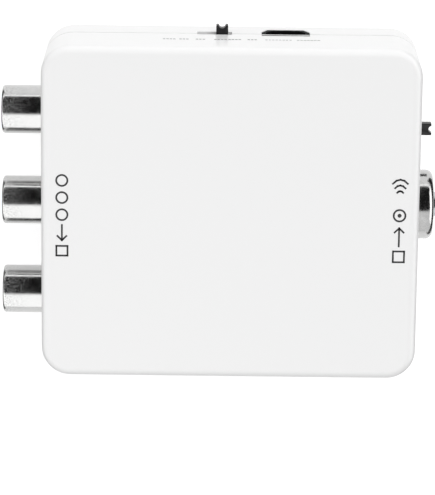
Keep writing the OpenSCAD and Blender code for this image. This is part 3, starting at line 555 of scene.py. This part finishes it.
board_green = finish_from("board_laminate", fibre_group, {"Thread mm": 0.5},
    (0.006, 0.075, 0.024), (0.010, 0.10, 0.034), "Weave", (0.26, 0.36), "Streaks", "Weave",
    (0.1, 0.02), Coat_Weight=0.4)
tree = board_green.node_tree
place = node_of(tree, "TEX_COORD")
lacquer = node_of(tree, "MIX")
blocks = add_node(tree, "ShaderNodeTexVoronoi",
    {"Scale": 1 / BLOCK, "Randomness": 0.85}, distance="CHEBYCHEV")
block_value = add_node(tree, "ShaderNodeRGBToBW")
link(tree, place, "Object", blocks, "Vector")
link(tree, blocks, "Color", block_value, 0)
ways = []
for turn, row in TRACK_WAYS:
    turned = add_node(tree, "ShaderNodeMapping", {"Rotation": (0, 0, turn)})
    tracks = add_node(tree, "ShaderNodeTexBrick", {**BRICKS, "Row Height": row}, offset=0.37)
    link(tree, place, "Object", turned, 0)
    link(tree, turned, 0, tracks, "Vector")
    ways.append(tracks)
across_here = add_node(tree, "ShaderNodeMath", {1: ACROSS_ABOVE}, operation="GREATER_THAN")
filled_here = add_node(tree, "ShaderNodeMath", {1: FILLED_BELOW}, operation="LESS_THAN")
either_way = colour_mix(tree)
copper_mask = colour_mix(tree, second=FILL)
copper_tint = colour_mix(tree, second=COPPER_GREEN)
link(tree, block_value, 0, across_here, 0)
link(tree, block_value, 0, filled_here, 0)
link(tree, across_here, 0, either_way, "Factor")
link(tree, ways[0], "Color", either_way, COLOUR_A)
link(tree, ways[1], "Color", either_way, COLOUR_B)
link(tree, filled_here, 0, copper_mask, "Factor")
link(tree, either_way, COLOUR_OUT, copper_mask, COLOUR_A)
link(tree, copper_mask, COLOUR_OUT, copper_tint, "Factor")
link(tree, lacquer, COLOUR_OUT, copper_tint, COLOUR_A)
link(tree, copper_tint, COLOUR_OUT, tree.nodes["Principled BSDF"], "Base Color")
base_brown = finish_from("switch_base_board", fibre_group, {"Thread mm": 0.3},
    (0.13, 0.055, 0.020), (0.21, 0.10, 0.042), "Streaks", (0.45, 0.6), "Streaks", "Streaks",
    (0.2, 0.02))

# %% [markdown]
# ## Ink
# The marks on the lid are printed in dark grey ink and those on the board in white. Ink is
# thin and slightly uneven, so its colour varies a little from place to place.

# %% Ink finishes
dark_ink = moulding("dark_ink", (0.010, 0.010, 0.011), (0.035, 0.035, 0.037),
    (0.4, 0.55), 0.25, 0.005)
pale_ink = moulding("pale_ink", (0.62, 0.62, 0.60), (0.75, 0.75, 0.73),
    (0.5, 0.65), 0.25, 0.005)

# %% Finishes of two materials
LEAD = (0.58, 0.59, 0.60)
FOOT = (0.012, 0.012, 0.013)
BARE_OUTSIDE, BARE_INSIDE = (0, 1), (1, 0)
modulator_black = two_tone(
    chip_black, "modulator_chip_and_leads", (0, 1, 0), -5.34, 1.96, LEAD, BARE_OUTSIDE)
control_black = two_tone(
    chip_black, "control_chip_and_leads", (1, 0, 0), -8.37, 1.96, LEAD, BARE_OUTSIDE)
regulator_black = two_tone(
    chip_black, "regulator_and_leads", (0, 1, 0), 5.34, 1.26, LEAD, BARE_OUTSIDE)
can_and_foot = two_tone(can_metal, "can_and_foot", (0, 0, 1), 8.5, 3.5, FOOT, BARE_INSIDE)

# %% [markdown]
# ## Dress the CAD solids
# A CAD solid whose shape is right only needs its finish. Each node gets one by its name.

# %% Give each node its finish
FINISHES = {
    "top_cover": white_case, "bottom_tray": white_case, "case_screws": zinc,
    "circuit_board": board_green, "board_screws": zinc,
    "rf_socket_shell": nickel, "rf_socket_insulator": insulator_white, "rf_socket_contact": tin,
    "power_socket_shell": nickel, "power_socket_insulator": satin_black,
    "power_socket_contacts": gold,
    "modulator_shield_frame": tin, "modulator_shield_lid": tin,
    "modulator_chip": modulator_black, "control_chip": control_black, "quartz_crystal": tin,
    "electrolytic_capacitors": can_and_foot, "power_choke": ferrite_grey,
    "voltage_regulator": regulator_black, "chip_resistors": chip_black,
    "chip_capacitors": ceramic_tan,
}
JACKS = {"video": video_yellow, "left_audio": left_white, "right_audio": right_red}
SWITCH_PARTS = {
    "frame": tin, "base": base_brown, "terminals": tin, "knob": satin_black, "clips": gold}
for jack, plastic in JACKS.items():
    FINISHES[f"{jack}_jack_barrel"] = barrel_nickel
    FINISHES[f"{jack}_jack_body"] = plastic
    FINISHES[f"{jack}_jack_contact"] = tin
for part, finish in SWITCH_PARTS.items():
    FINISHES[f"channel_switch_{part}"] = FINISHES[f"system_switch_{part}"] = finish
for name, node in nodes.items():
    for holder in node.material_slots:
        holder.material = FINISHES[name]
print("dressed:", len(FINISHES), "of", len(nodes))

# %% [markdown]
# ## Modelling helpers
# Each new piece starts as a primitive at its own place and size. Its place is moved into its
# mesh at once, so faces can be picked by where they are on the real object. At the end the
# piece gets its finish and the body that it rides on. All lengths that the helpers
# take are in millimetres.

# %% Helpers that start a piece
def settle(name):
    """Names the new primitive and moves its place, turn and size into its mesh."""
    piece = bpy.context.object
    piece.name = piece.data.name = name
    bpy.ops.object.transform_apply(location=True, rotation=True, scale=True)
    return piece


def new_box(name, low, high):
    """A box between two corners."""
    middle = [(a + b) / 2 * MM for a, b in zip(low, high)]
    size = [(b - a) * MM for a, b in zip(low, high)]
    bpy.ops.object.select_all(action="DESELECT")
    bpy.ops.mesh.primitive_cube_add(size=1, location=middle, scale=size)
    return settle(name)


def new_drum(name, radius, low, high, centre=(0, 0), vertices=32):
    """An upright cylinder between two heights."""
    middle = (centre[0] * MM, centre[1] * MM, (low + high) / 2 * MM)
    bpy.ops.object.select_all(action="DESELECT")
    bpy.ops.mesh.primitive_cylinder_add(
        vertices=vertices, radius=radius * MM, depth=(high - low) * MM, location=middle)
    return settle(name)


# %% Helpers that edit a piece
def choose(piece):
    """Makes a piece the only selected and the active one."""
    bpy.ops.object.select_all(action="DESELECT")
    piece.select_set(True)
    bpy.context.view_layer.objects.active = piece


def edit(piece):
    """Opens a piece for editing, with nothing selected."""
    choose(piece)
    bpy.ops.object.mode_set(mode="EDIT")
    bpy.ops.mesh.select_all(action="DESELECT")


def close():
    """Leaves edit mode."""
    bpy.ops.object.mode_set(mode="OBJECT")


def one_point(name):
    """A piece with a single point, at the origin, open for editing."""
    bpy.ops.object.select_all(action="DESELECT")
    bpy.ops.mesh.primitive_plane_add(size=MM)
    piece = settle(name)
    edit(piece)
    bpy.ops.mesh.select_mode(type="VERT")
    bpy.ops.mesh.select_all(action="SELECT")
    bpy.ops.mesh.merge(type="CENTER")
    return piece


def pick_faces(test):
    """Selects the faces whose middle and normal pass the test."""
    bpy.ops.mesh.select_mode(type="FACE")
    bpy.ops.mesh.select_all(action="DESELECT")
    mesh = bpy.context.object.data
    shape = bmesh.from_edit_mesh(mesh)
    for face in shape.faces:
        face.select_set(bool(test(face.calc_center_median() / MM, face.normal)))
    bmesh.update_edit_mesh(mesh)


def draw_to(x, y, z):
    """Draws an edge from the selected point by this step and selects its end."""
    step = (x * MM, y * MM, z * MM)
    bpy.ops.mesh.extrude_vertices_move(TRANSFORM_OT_translate={"value": step})


def pull(x, y, z):
    """Extrudes the selected faces by this step."""
    step = (x * MM, y * MM, z * MM)
    bpy.ops.mesh.extrude_region_move(TRANSFORM_OT_translate={"value": step})


def face_outwards():
    """Turns every normal of the open piece outwards."""
    bpy.ops.mesh.select_all(action="SELECT")
    bpy.ops.mesh.normals_make_consistent(inside=False)


# %% Helpers that work on whole pieces
def apply_modifier(piece, kind, **settings):
    """Adds a modifier to a piece and applies it."""
    choose(piece)
    modifier = piece.modifiers.new(kind.lower(), kind)
    for name, value in settings.items():
        setattr(modifier, name, value)
    bpy.ops.object.modifier_apply(modifier=modifier.name)


def cut(piece, tool):
    """Cuts a tool's shape out of a piece and removes the tool."""
    apply_modifier(piece, "BOOLEAN", object=tool, operation="DIFFERENCE", solver="EXACT")
    bpy.data.objects.remove(tool)


def soften(piece, width, segments=2, degrees=35):
    """Rounds the sharp edges of a piece by this width."""
    apply_modifier(piece, "BEVEL", width=width * MM, segments=segments, limit_method="ANGLE",
        angle_limit=math.radians(degrees))


def join(pieces, name):
    """Joins several pieces into one."""
    bpy.ops.object.select_all(action="DESELECT")
    for piece in pieces:
        piece.select_set(True)
    bpy.context.view_layer.objects.active = pieces[0]
    bpy.ops.object.join()
    pieces[0].name = pieces[0].data.name = name
    return pieces[0]


def lathe(name, outline, steps=32):
    """A turned piece: its half outline, radius and height, is drawn and spun round Z."""
    piece = one_point(name)
    radius, height = outline[0]
    bpy.ops.transform.translate(value=(radius * MM, 0, height * MM))
    for (r0, h0), (r1, h1) in zip(outline, outline[1:]):
        draw_to(r1 - r0, 0, h1 - h0)
    bpy.ops.mesh.select_all(action="SELECT")
    bpy.ops.mesh.spin(steps=steps, angle=2 * math.pi, center=(0, 0, 0), axis=(0, 0, 1))
    bpy.ops.mesh.select_all(action="SELECT")
    bpy.ops.mesh.remove_doubles(threshold=0.0005 * MM)
    face_outwards()
    close()
    return piece


def copy_to(piece, places, turns=None):
    """Copies of a piece at each place, each with its own mesh. The first goes."""
    made = []
    for k, place in enumerate(places):
        twin = bpy.data.objects.new(f"{piece.name}_{k}", piece.data.copy())
        scene.collection.objects.link(twin)
        turn = Matrix.Rotation(turns[k] if turns else 0, 4, "Z")
        twin.data.transform(Matrix.Translation(Vector(place) * MM) @ turn)
        made.append(twin)
    bpy.data.objects.remove(piece)
    return made


def move_to(piece, name, place, turn=0):
    """Puts one copy of a piece at a place under a new name. The first goes."""
    twin = copy_to(piece, [place], [turn])[0]
    twin.name = twin.data.name = name
    return twin


def hand_over(piece, body, finish, smooth=35):
    """Shades a finished piece, gives it its finish and lets it ride on a body."""
    choose(piece)
    bpy.ops.object.shade_smooth_by_angle(angle=math.radians(smooth))
    piece.data.materials.clear()
    piece.data.materials.append(finish)
    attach(piece, body)
    size = [round(v / MM, 2) for v in piece.dimensions]
    print(piece.name, "faces:", len(piece.data.polygons), "size mm:", size)


# %% [markdown]
# ## Switch knobs
# Each knob is one black moulding: a flat slider inside the steel frame and a stub that comes out
# through the case, with a notch across its tip for a fingernail. It could be two boxes joined
# by a boolean. Here the stub is drawn out of the slider's own face, as the mould makes it:
# the face is inset to the stub's width, squeezed to its height and extruded.

# %% Knob maker
SWITCH_HEIGHT = 7.4
KNOB_WIDTH = 2.05
KNOB_HEIGHT = 1.8
KNOB_EDGE = 0.09
SLIDER = 5.5
SLIDER_BACK = -1.95
SLIDER_FACE = -0.45
NOTCH_RADIUS = 0.62
NOTCH_DEPTH = 0.5
POCKET_HALF_WIDTH, POCKET_DEPTH, POCKET_HALF_HEIGHT = 1.85, 0.3, 0.5
POCKET_ROW = 1.728
FACING = 0.9


def knob(name, reach):
    """A knob drawn at the middle of its travel, pointing along +Y from the frame's face at zero."""
    half = SLIDER / 2
    piece = new_box(name, (-half, SLIDER_BACK, -half), (half, SLIDER_FACE, half))
    edit(piece)
    pick_faces(lambda middle, normal: normal.y > FACING)
    bpy.ops.mesh.inset(thickness=(SLIDER - KNOB_WIDTH) / 2 * MM)
    squeeze = (1, 1, KNOB_HEIGHT / KNOB_WIDTH)
    bpy.ops.transform.resize(value=squeeze, center_override=(0, 0, 0))
    pull(0, reach - SLIDER_FACE, 0)
    close()
    notch_middle = (0, reach + NOTCH_RADIUS - NOTCH_DEPTH)
    cut(piece, new_drum("notch", NOTCH_RADIUS, -KNOB_HEIGHT, KNOB_HEIGHT, notch_middle))
    for row in (-POCKET_ROW, POCKET_ROW):
        low = (-POCKET_HALF_WIDTH, SLIDER_BACK - 1, row - POCKET_HALF_HEIGHT)
        high = (POCKET_HALF_WIDTH, SLIDER_BACK + POCKET_DEPTH, row + POCKET_HALF_HEIGHT)
        cut(piece, new_box("pocket", low, high))
    soften(piece, KNOB_EDGE, 3)
    return piece


# %% The two knobs
CHANNEL_REST, CHANNEL_REACH = (-1.7, 26.95, SWITCH_HEIGHT), 3.55
SYSTEM_REST, SYSTEM_REACH = (30.15, 12.68, SWITCH_HEIGHT), 4.45
channel_knob = move_to(knob("channel_knob", CHANNEL_REACH), "channel_knob_moulding", CHANNEL_REST)
system_knob = move_to(
    knob("system_knob", SYSTEM_REACH), "system_knob_moulding", SYSTEM_REST, -math.pi / 2)
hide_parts("channel_switch_knob")
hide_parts("system_switch_knob")
hand_over(channel_knob, "channel_knob", satin_black)
hand_over(system_knob, "system_knob", satin_black)

# %% [markdown]
# ## Screws
# Four screws hold the case from below and two hold the board. In CAD they are plain shanks.
# Here each is turned from one outline with a domed head and a row of thread ridges, and the
# cross is cut last. A true helix would be closer to a real thread, but the ridges look the
# same at this size and stay light.

# %% Screw maker
# The dome's points are shares of the head's radius and height. A ridge's points are shares of
# the pitch, each with whether it stands at the crest.
DOME = ((0.76, 1), (0.88, 0.93), (0.96, 0.78), (1, 0.52))
RIM_HEIGHT, SEAT_SHARE = 0.06, 0.97
RIDGE = ((0, False), (0.42, True), (0.5, True), (0.92, False))
PLAIN_SHANK = 0.25
POINT_SHARE, POINT_LENGTH = 0.25, 0.05
CROSS_WIDTH, CROSS_DEPTH = 0.55, 0.8


def turned_screw(name, head, shank, length, pitch, cross):
    """A screw with its seat at zero, its head below and its thread above."""
    head_r, head_h = head
    core, crest = shank
    outline = [(0, -head_h)] + [(head_r * r, -head_h * h) for r, h in DOME]
    outline += [(head_r, -RIM_HEIGHT), (head_r * SEAT_SHARE, 0), (core, 0)]
    height = PLAIN_SHANK
    while height + pitch < length - crest:
        outline += [(crest if high else core, height + pitch * share) for share, high in RIDGE]
        height += pitch
    outline += [(core, length - crest), (crest * POINT_SHARE, length - POINT_LENGTH), (0, length)]
    piece = lathe(name, outline, 24)
    for turn in (0, math.pi / 2):
        low = (-cross / 2, -CROSS_WIDTH / 2, -head_h - 1)
        slot = new_box("slot", low, (cross / 2, CROSS_WIDTH / 2, CROSS_DEPTH - head_h))
        slot.data.transform(Matrix.Rotation(turn, 4, "Z"))
        cut(piece, slot)
    return piece


# %% The six screws
BOARD_BOTTOM, BOARD_TOP = 3.0, 4.2
CASE_SEAT = 2.2
corners = [(x, y, CASE_SEAT) for x in (-27.2, 27.2) for y in (-24, 24)]
board_places = [(x, -22.43, BOARD_TOP) for x in (-8.97, 15.55)]
case_screw = turned_screw(
    "case_screw", head=(1.9, 1.4), shank=(0.85, 1.1), length=9.0, pitch=0.8, cross=2.2)
case_screws = join(copy_to(case_screw, corners, [0.3, 1.1, 0.7, 0.0]), "case_screw_set")
board_screw = turned_screw(
    "board_screw", head=(1.6, 1.0), shank=(0.65, 0.9), length=3.1, pitch=0.55, cross=1.9)
board_screw.data.transform(Matrix.Rotation(math.pi, 4, "X"))
board_screws = join(copy_to(board_screw, board_places, [0.4, 0.9]), "board_screw_set")
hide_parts("case_screws")
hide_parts("board_screws")
hand_over(case_screws, "case", zinc)
hand_over(board_screws, "case", zinc)

# %% [markdown]
# ## Solder and the choke's winding
# Each lead ends in a flared cone of solder under the board. One cone is turned and copied to
# every lead. The choke's winding is turned too: each turn of wire is a small bump in its
# outline, which gives the same look as a wound wire for far fewer faces.

# %% Solder joints
CONE = [(0, 0), (0.92, 0), (0.70, -0.09), (0.52, -0.26), (0.44, -0.46), (0, -0.54)]


def rows(xs, ys):
    """Places at every crossing of some X and Y values."""
    return [(x, y) for x in xs for y in ys]


joints = rows((-29.03, -20.65), (16, 0, -16))
joints += rows((24.7, 28.8), (-2.8, 2.8)) + [(21.1, 0)]
joints += rows((5.5, 12.9), (25.4, 20.6))
joints += rows((-5.5, -3.0, -0.5), (20.2, 21.8)) + rows((-7.33, 1.33), (24.85,))
joints += rows((23.4, 25.0), (11.48, 13.98, 16.48)) + rows((28.05,), (9.66, 18.31))
cone = lathe("solder_cone", CONE, 16)
solder_joints = join(copy_to(cone, [(x, y, BOARD_BOTTOM) for x, y in joints]), "solder_joints")
hand_over(solder_joints, "case", solder, 60)

# %% The choke's winding
CHOKE = (7.77, 9.61)
WIRE, TURNS = 0.22, 7
CORE, COIL, COIL_FOOT = 1.72, 2.16, 4.93
# How far a turn of wire stands out, at shares of its height.
BULGE = ((0.09, 0.25), (0.11, 0.5), (0.09, 0.75), (0, 1))
outline = [(CORE, COIL_FOOT), (COIL, COIL_FOOT)]
for turn in range(TURNS):
    start = COIL_FOOT + turn * WIRE
    outline += [(COIL + proud, start + WIRE * share) for proud, share in BULGE]
outline += [(CORE, COIL_FOOT + TURNS * WIRE), (CORE, COIL_FOOT)]
choke_winding = move_to(lathe("winding", outline), "choke_winding", (*CHOKE, 0))
hand_over(choke_winding, "case", copper, 50)

# %% [markdown]
# ## Metal ends of the small parts
# Chip resistors and ceramic capacitors have a tinned cap at each end. One pair of caps is made
# for each kind, its edges are rounded, and it is copied to every place.

# %% End caps
CAP_PROUD, CAP_EDGE = 0.02, 0.05
RESISTORS = [(-14.35, y) for y in (8.01, 5.87, -8.01, -5.87)]
RESISTORS += [(x, -14.95) for x in (-1.50, 1.50, 4.49, 7.48, -4.49, -13.46)]
CERAMICS = [(x, -19.22) for x in (-1.50, 1.50, 4.49, 7.48, 10.47, -4.49)]
CERAMICS += [(-14.35, 0.53), (-14.35, -1.60), (13.16, 16.55), (13.16, 14.42)]


def end_caps(name, size, cap, places):
    """Two caps, a little larger than the part's ends, at every place on the board."""
    half = size[0] / 2
    high = (half + CAP_PROUD, size[1] / 2 + CAP_PROUD, size[2] + CAP_PROUD)
    right = new_box("right_cap", (half - cap, -high[1], 0), high)
    left = new_box("left_cap", (-high[0], -high[1], 0), (cap - half, high[1], high[2]))
    pair = join([right, left], name)
    soften(pair, CAP_EDGE, 2)
    caps = join(copy_to(pair, [(x, y, BOARD_TOP) for x, y in places]), name)
    hand_over(caps, "case", tin)


end_caps("resistor_ends", (2.0, 1.25, 0.5), 0.36, RESISTORS)
end_caps("ceramic_ends", (1.6, 0.8, 0.8), 0.32, CERAMICS)

# %% [markdown]
# ## The power socket's mouth
# The socket looks black right up to the wall. That black is painted shade: a near-black lining,
# with its reflection cut low, fills the steel shell and ends in a collar, open above, round the
# mouth. Both are drawn from the shell's own outline, grown or shrunk, and hollowed. A bright lip
# of the shell closes the collar above, and over that a small white tongue closes the notch in the
# case.

# %% Socket outline drawn as a bar
SOCKET_X = 9.2
SOCKET_HALF, SOCKET_FOOT = 3.85, 2.8
SOCKET_LOW, SOCKET_KNEE, SOCKET_HIGH = 4.2, 6.1, 8.1


def socket_bar(name, grow, near, far, lift=0.0):
    """The socket's outline, grown by this much, as a bar along Y. lift raises its upper side."""
    half, foot = SOCKET_HALF + grow, SOCKET_FOOT + grow
    low, high = SOCKET_LOW - grow, SOCKET_HIGH + lift + grow
    corners = [(-half, high), (-half, SOCKET_KNEE), (-foot, low), (foot, low),
        (half, SOCKET_KNEE), (half, high)]
    piece = one_point(name)
    bpy.ops.transform.translate(value=((SOCKET_X - half) * MM, near * MM, high * MM))
    for (x0, z0), (x1, z1) in zip(corners, corners[1:]):
        draw_to(x1 - x0, 0, z1 - z0)
    bpy.ops.mesh.select_all(action="SELECT")
    bpy.ops.mesh.edge_face_add()
    pull(0, far - near, 0)
    face_outwards()
    close()
    return piece


# %% Shade collar, shade lining, lip and tongue
MOUTH = -0.45
COLLAR_BACK = 28.45


def across_mouth(name, half, depths, heights, edge):
    """A bar across the mouth, between two depths and two heights, with rounded edges."""
    low, high = zip(depths, heights)
    piece = new_box(name, (SOCKET_X - half, *low), (SOCKET_X + half, *high))
    soften(piece, edge, 3)
    return piece


# The collar and the lining are painted shade: near-black pieces that darken the socket's mouth.
collar = socket_bar("collar", grow=0.25, near=COLLAR_BACK, far=28.93)
cut(collar, socket_bar("collar_hole", MOUTH, 28.0, 29.5, lift=2.0))
shade_lining = socket_bar("shade_lining", grow=-0.33, near=21.8, far=28.5)
cut(shade_lining, socket_bar("shade_lining_hole", MOUTH, 21.0, 29.0))
mouth_shade_pieces = join([collar, shade_lining], "power_socket_shade_lining")
hand_over(mouth_shade_pieces, "case", mouth_painted_shade)
lip = across_mouth("power_socket_lip", 4.12, (COLLAR_BACK, 28.96), (7.8, 8.45), 0.08)
hand_over(lip, "case", nickel)
tongue = across_mouth("socket_notch_tongue", 3.95, (27.4, 28.75), (8.5, 9.3), 0.15)
hand_over(tongue, "case", white_case)

# %% [markdown]
# ## Printed marks
# The real lid has small dark print beside each row of sockets. Plain signs stand there: three
# rings and an arrow into a box for what goes in, and a box, an arrow, a ring with a dot and
# waves for what comes out. Ink could be painted by a shader mask, but thin strokes of mesh
# stay crisp at any distance. Each stroke is a few hundredths of a millimetre thick.

# %% Stroke makers
INK = 0.03
STROKE = 0.3
DOT = 1


def bar(at, u0, v0, u1, v1, width=STROKE):
    """A straight stroke between two points of a printed sign."""
    half = (math.hypot(u1 - u0, v1 - v0) + width) / 2
    turn = Matrix.Rotation(math.atan2(v1 - v0, u1 - u0), 4, "Z")
    middle = Matrix.Translation(Vector(((u0 + u1) / 2, (v0 + v1) / 2, 0)) * MM)
    piece = new_box("stroke", (-half, -width / 2, 0), (half, width / 2, INK))
    piece.data.transform(middle @ turn)
    piece.data.transform(at)
    return piece


def ring(at, u, v, radius, width=STROKE):
    """A round stroke. A width of DOT, wider than the radius, gives a full disc."""
    bpy.ops.object.select_all(action="DESELECT")
    bpy.ops.mesh.primitive_circle_add(vertices=40, radius=radius * MM, fill_type="NGON")
    piece = settle("ring")
    edit(piece)
    bpy.ops.mesh.select_mode(type="FACE")
    bpy.ops.mesh.select_all(action="SELECT")
    if width < radius:
        bpy.ops.mesh.inset(thickness=width * MM)
        bpy.ops.mesh.delete(type="FACE")
    bpy.ops.mesh.select_all(action="SELECT")
    pull(0, 0, INK)
    face_outwards()
    close()
    piece.data.transform(Matrix.Translation((u * MM, v * MM, 0)))
    piece.data.transform(at)
    return piece


def arrow(at, u0, u1, v, head=0.75):
    """An arrow along the sign from u0 to u1."""
    return [bar(at, u0, v, u1, v), bar(at, u1, v, u1 - head, v + head),
        bar(at, u1, v, u1 - head, v - head)]


def frame_mark(at, u0, v0, u1, v1, width=STROKE):
    """The outline of a box."""
    return [bar(at, u0, v0, u1, v0, width), bar(at, u1, v0, u1, v1, width),
        bar(at, u1, v1, u0, v1, width), bar(at, u0, v1, u0, v0, width)]


def sign_place(origin, along, up):
    """A matrix that puts a sign's u along one axis and its v along another."""
    out = Vector(along).cross(Vector(up))
    place = Matrix((along, up, out)).transposed().to_4x4()
    place.translation = Vector(origin) * MM
    return place


print("stroke makers ready")

# %% The lid's marks
LID = 20.0
MARK_HALF = 0.95
INPUT_RINGS, INPUT_RING = (1.1, 4.1, 7.1), 1.1
OUTPUT_RING, OUTPUT_DOT, OUTPUT_U = 1.15, 0.34, 8.4
WAVES_FROM, WAVE_REACHES, WAVE_SQUEEZE = 11.4, (1.3, 2.3, 3.3), 0.62
WAVE_ANGLES = [math.radians(a) for a in (-38, -19, 0, 19, 38)]
input_side = sign_place((-28.6, 6.9, LID), (0, -1, 0), (1, 0, 0))
marks = [ring(input_side, u, 0, INPUT_RING) for u in INPUT_RINGS]
marks += arrow(input_side, 8.9, 11.6, 0)
marks += frame_mark(input_side, 12.6, -MARK_HALF, 14.3, MARK_HALF)
output_side = sign_place((28.8, -8.1, LID), (0, 1, 0), (-1, 0, 0))
marks += frame_mark(output_side, 0.2, -MARK_HALF, 2.1, MARK_HALF)
marks += arrow(output_side, 3.0, 6.2, 0)
marks.append(ring(output_side, OUTPUT_U, 0, OUTPUT_RING))
marks.append(ring(output_side, OUTPUT_U, 0, OUTPUT_DOT, DOT))
for reach in WAVE_REACHES:
    bend = [(WAVES_FROM + reach * math.cos(a), reach * math.sin(a) * WAVE_SQUEEZE)
        for a in WAVE_ANGLES]
    marks += [bar(output_side, *a, *b) for a, b in zip(bend, bend[1:])]
lid_marks = join(marks, "lid_marks")
hand_over(lid_marks, "case", dark_ink)

# %% The wall's marks
WALL = 29.0
LINE_HEIGHT = 12.9
# Each row of dashes has its two ends along the wall and its stroke's width.
WORDS = [(-4.2, -2.6, 0.24), (-1.5, 0.5, 0.24), (0.9, 3.3, 0.24), (4.6, 6.3, 0.22),
    (7.4, 9.2, 0.22), (9.6, 11.7, 0.20), (-10.1, -5.6, 0.11), (-14.9, -11.2, 0.13)]
DASH, SPACE = 0.42, 0.16
wall_face = sign_place((0, WALL, 0), (-1, 0, 0), (0, 0, 1))
marks = []
for first, last, line in WORDS:
    for k in range(round((last - first + SPACE) / (DASH + SPACE))):
        at = first + k * (DASH + SPACE)
        ends = (at + line / 2, LINE_HEIGHT, at + DASH - line / 2, LINE_HEIGHT)
        marks.append(bar(wall_face, *ends, line))
wall_marks = join(marks, "wall_marks")
hand_over(wall_marks, "case", dark_ink)

# %% The board's print
CHIP_TOP = 5.85
THIN_STROKE = 0.15
CHOKE_RING = 3.0
PIN_ONE, PIN_ONE_MARKS = 0.26, [(-9.6, 6.9), (5.6, -6.6)]
# The middle and half sizes of each part's outline.
OUTLINES = [(9.87, -5.34, 9.75, 8.25), (-8.37, 2.67, 3.5, 5.3), (-6.58, -7.48, 6.0, 2.6),
    (0.60, 5.34, 2.55, 2.45), (19.73, 11.21, 2.95, 2.95), (-14.05, 13.88, 2.95, 2.95),
    (-0.60, 11.21, 2.95, 2.95)]
board_face = sign_place((0, 0, BOARD_TOP), (1, 0, 0), (0, 1, 0))
chip_face = sign_place((0, 0, CHIP_TOP), (1, 0, 0), (0, 1, 0))
marks = []
for x, y, half_x, half_y in OUTLINES:
    marks += frame_mark(board_face, x - half_x, y - half_y, x + half_x, y + half_y, THIN_STROKE)
marks.append(ring(board_face, *CHOKE, CHOKE_RING, THIN_STROKE))
marks += [ring(chip_face, u, v, PIN_ONE, DOT) for u, v in PIN_ONE_MARKS]
board_print = join(marks, "board_print")
hand_over(board_print, "case", pale_ink)
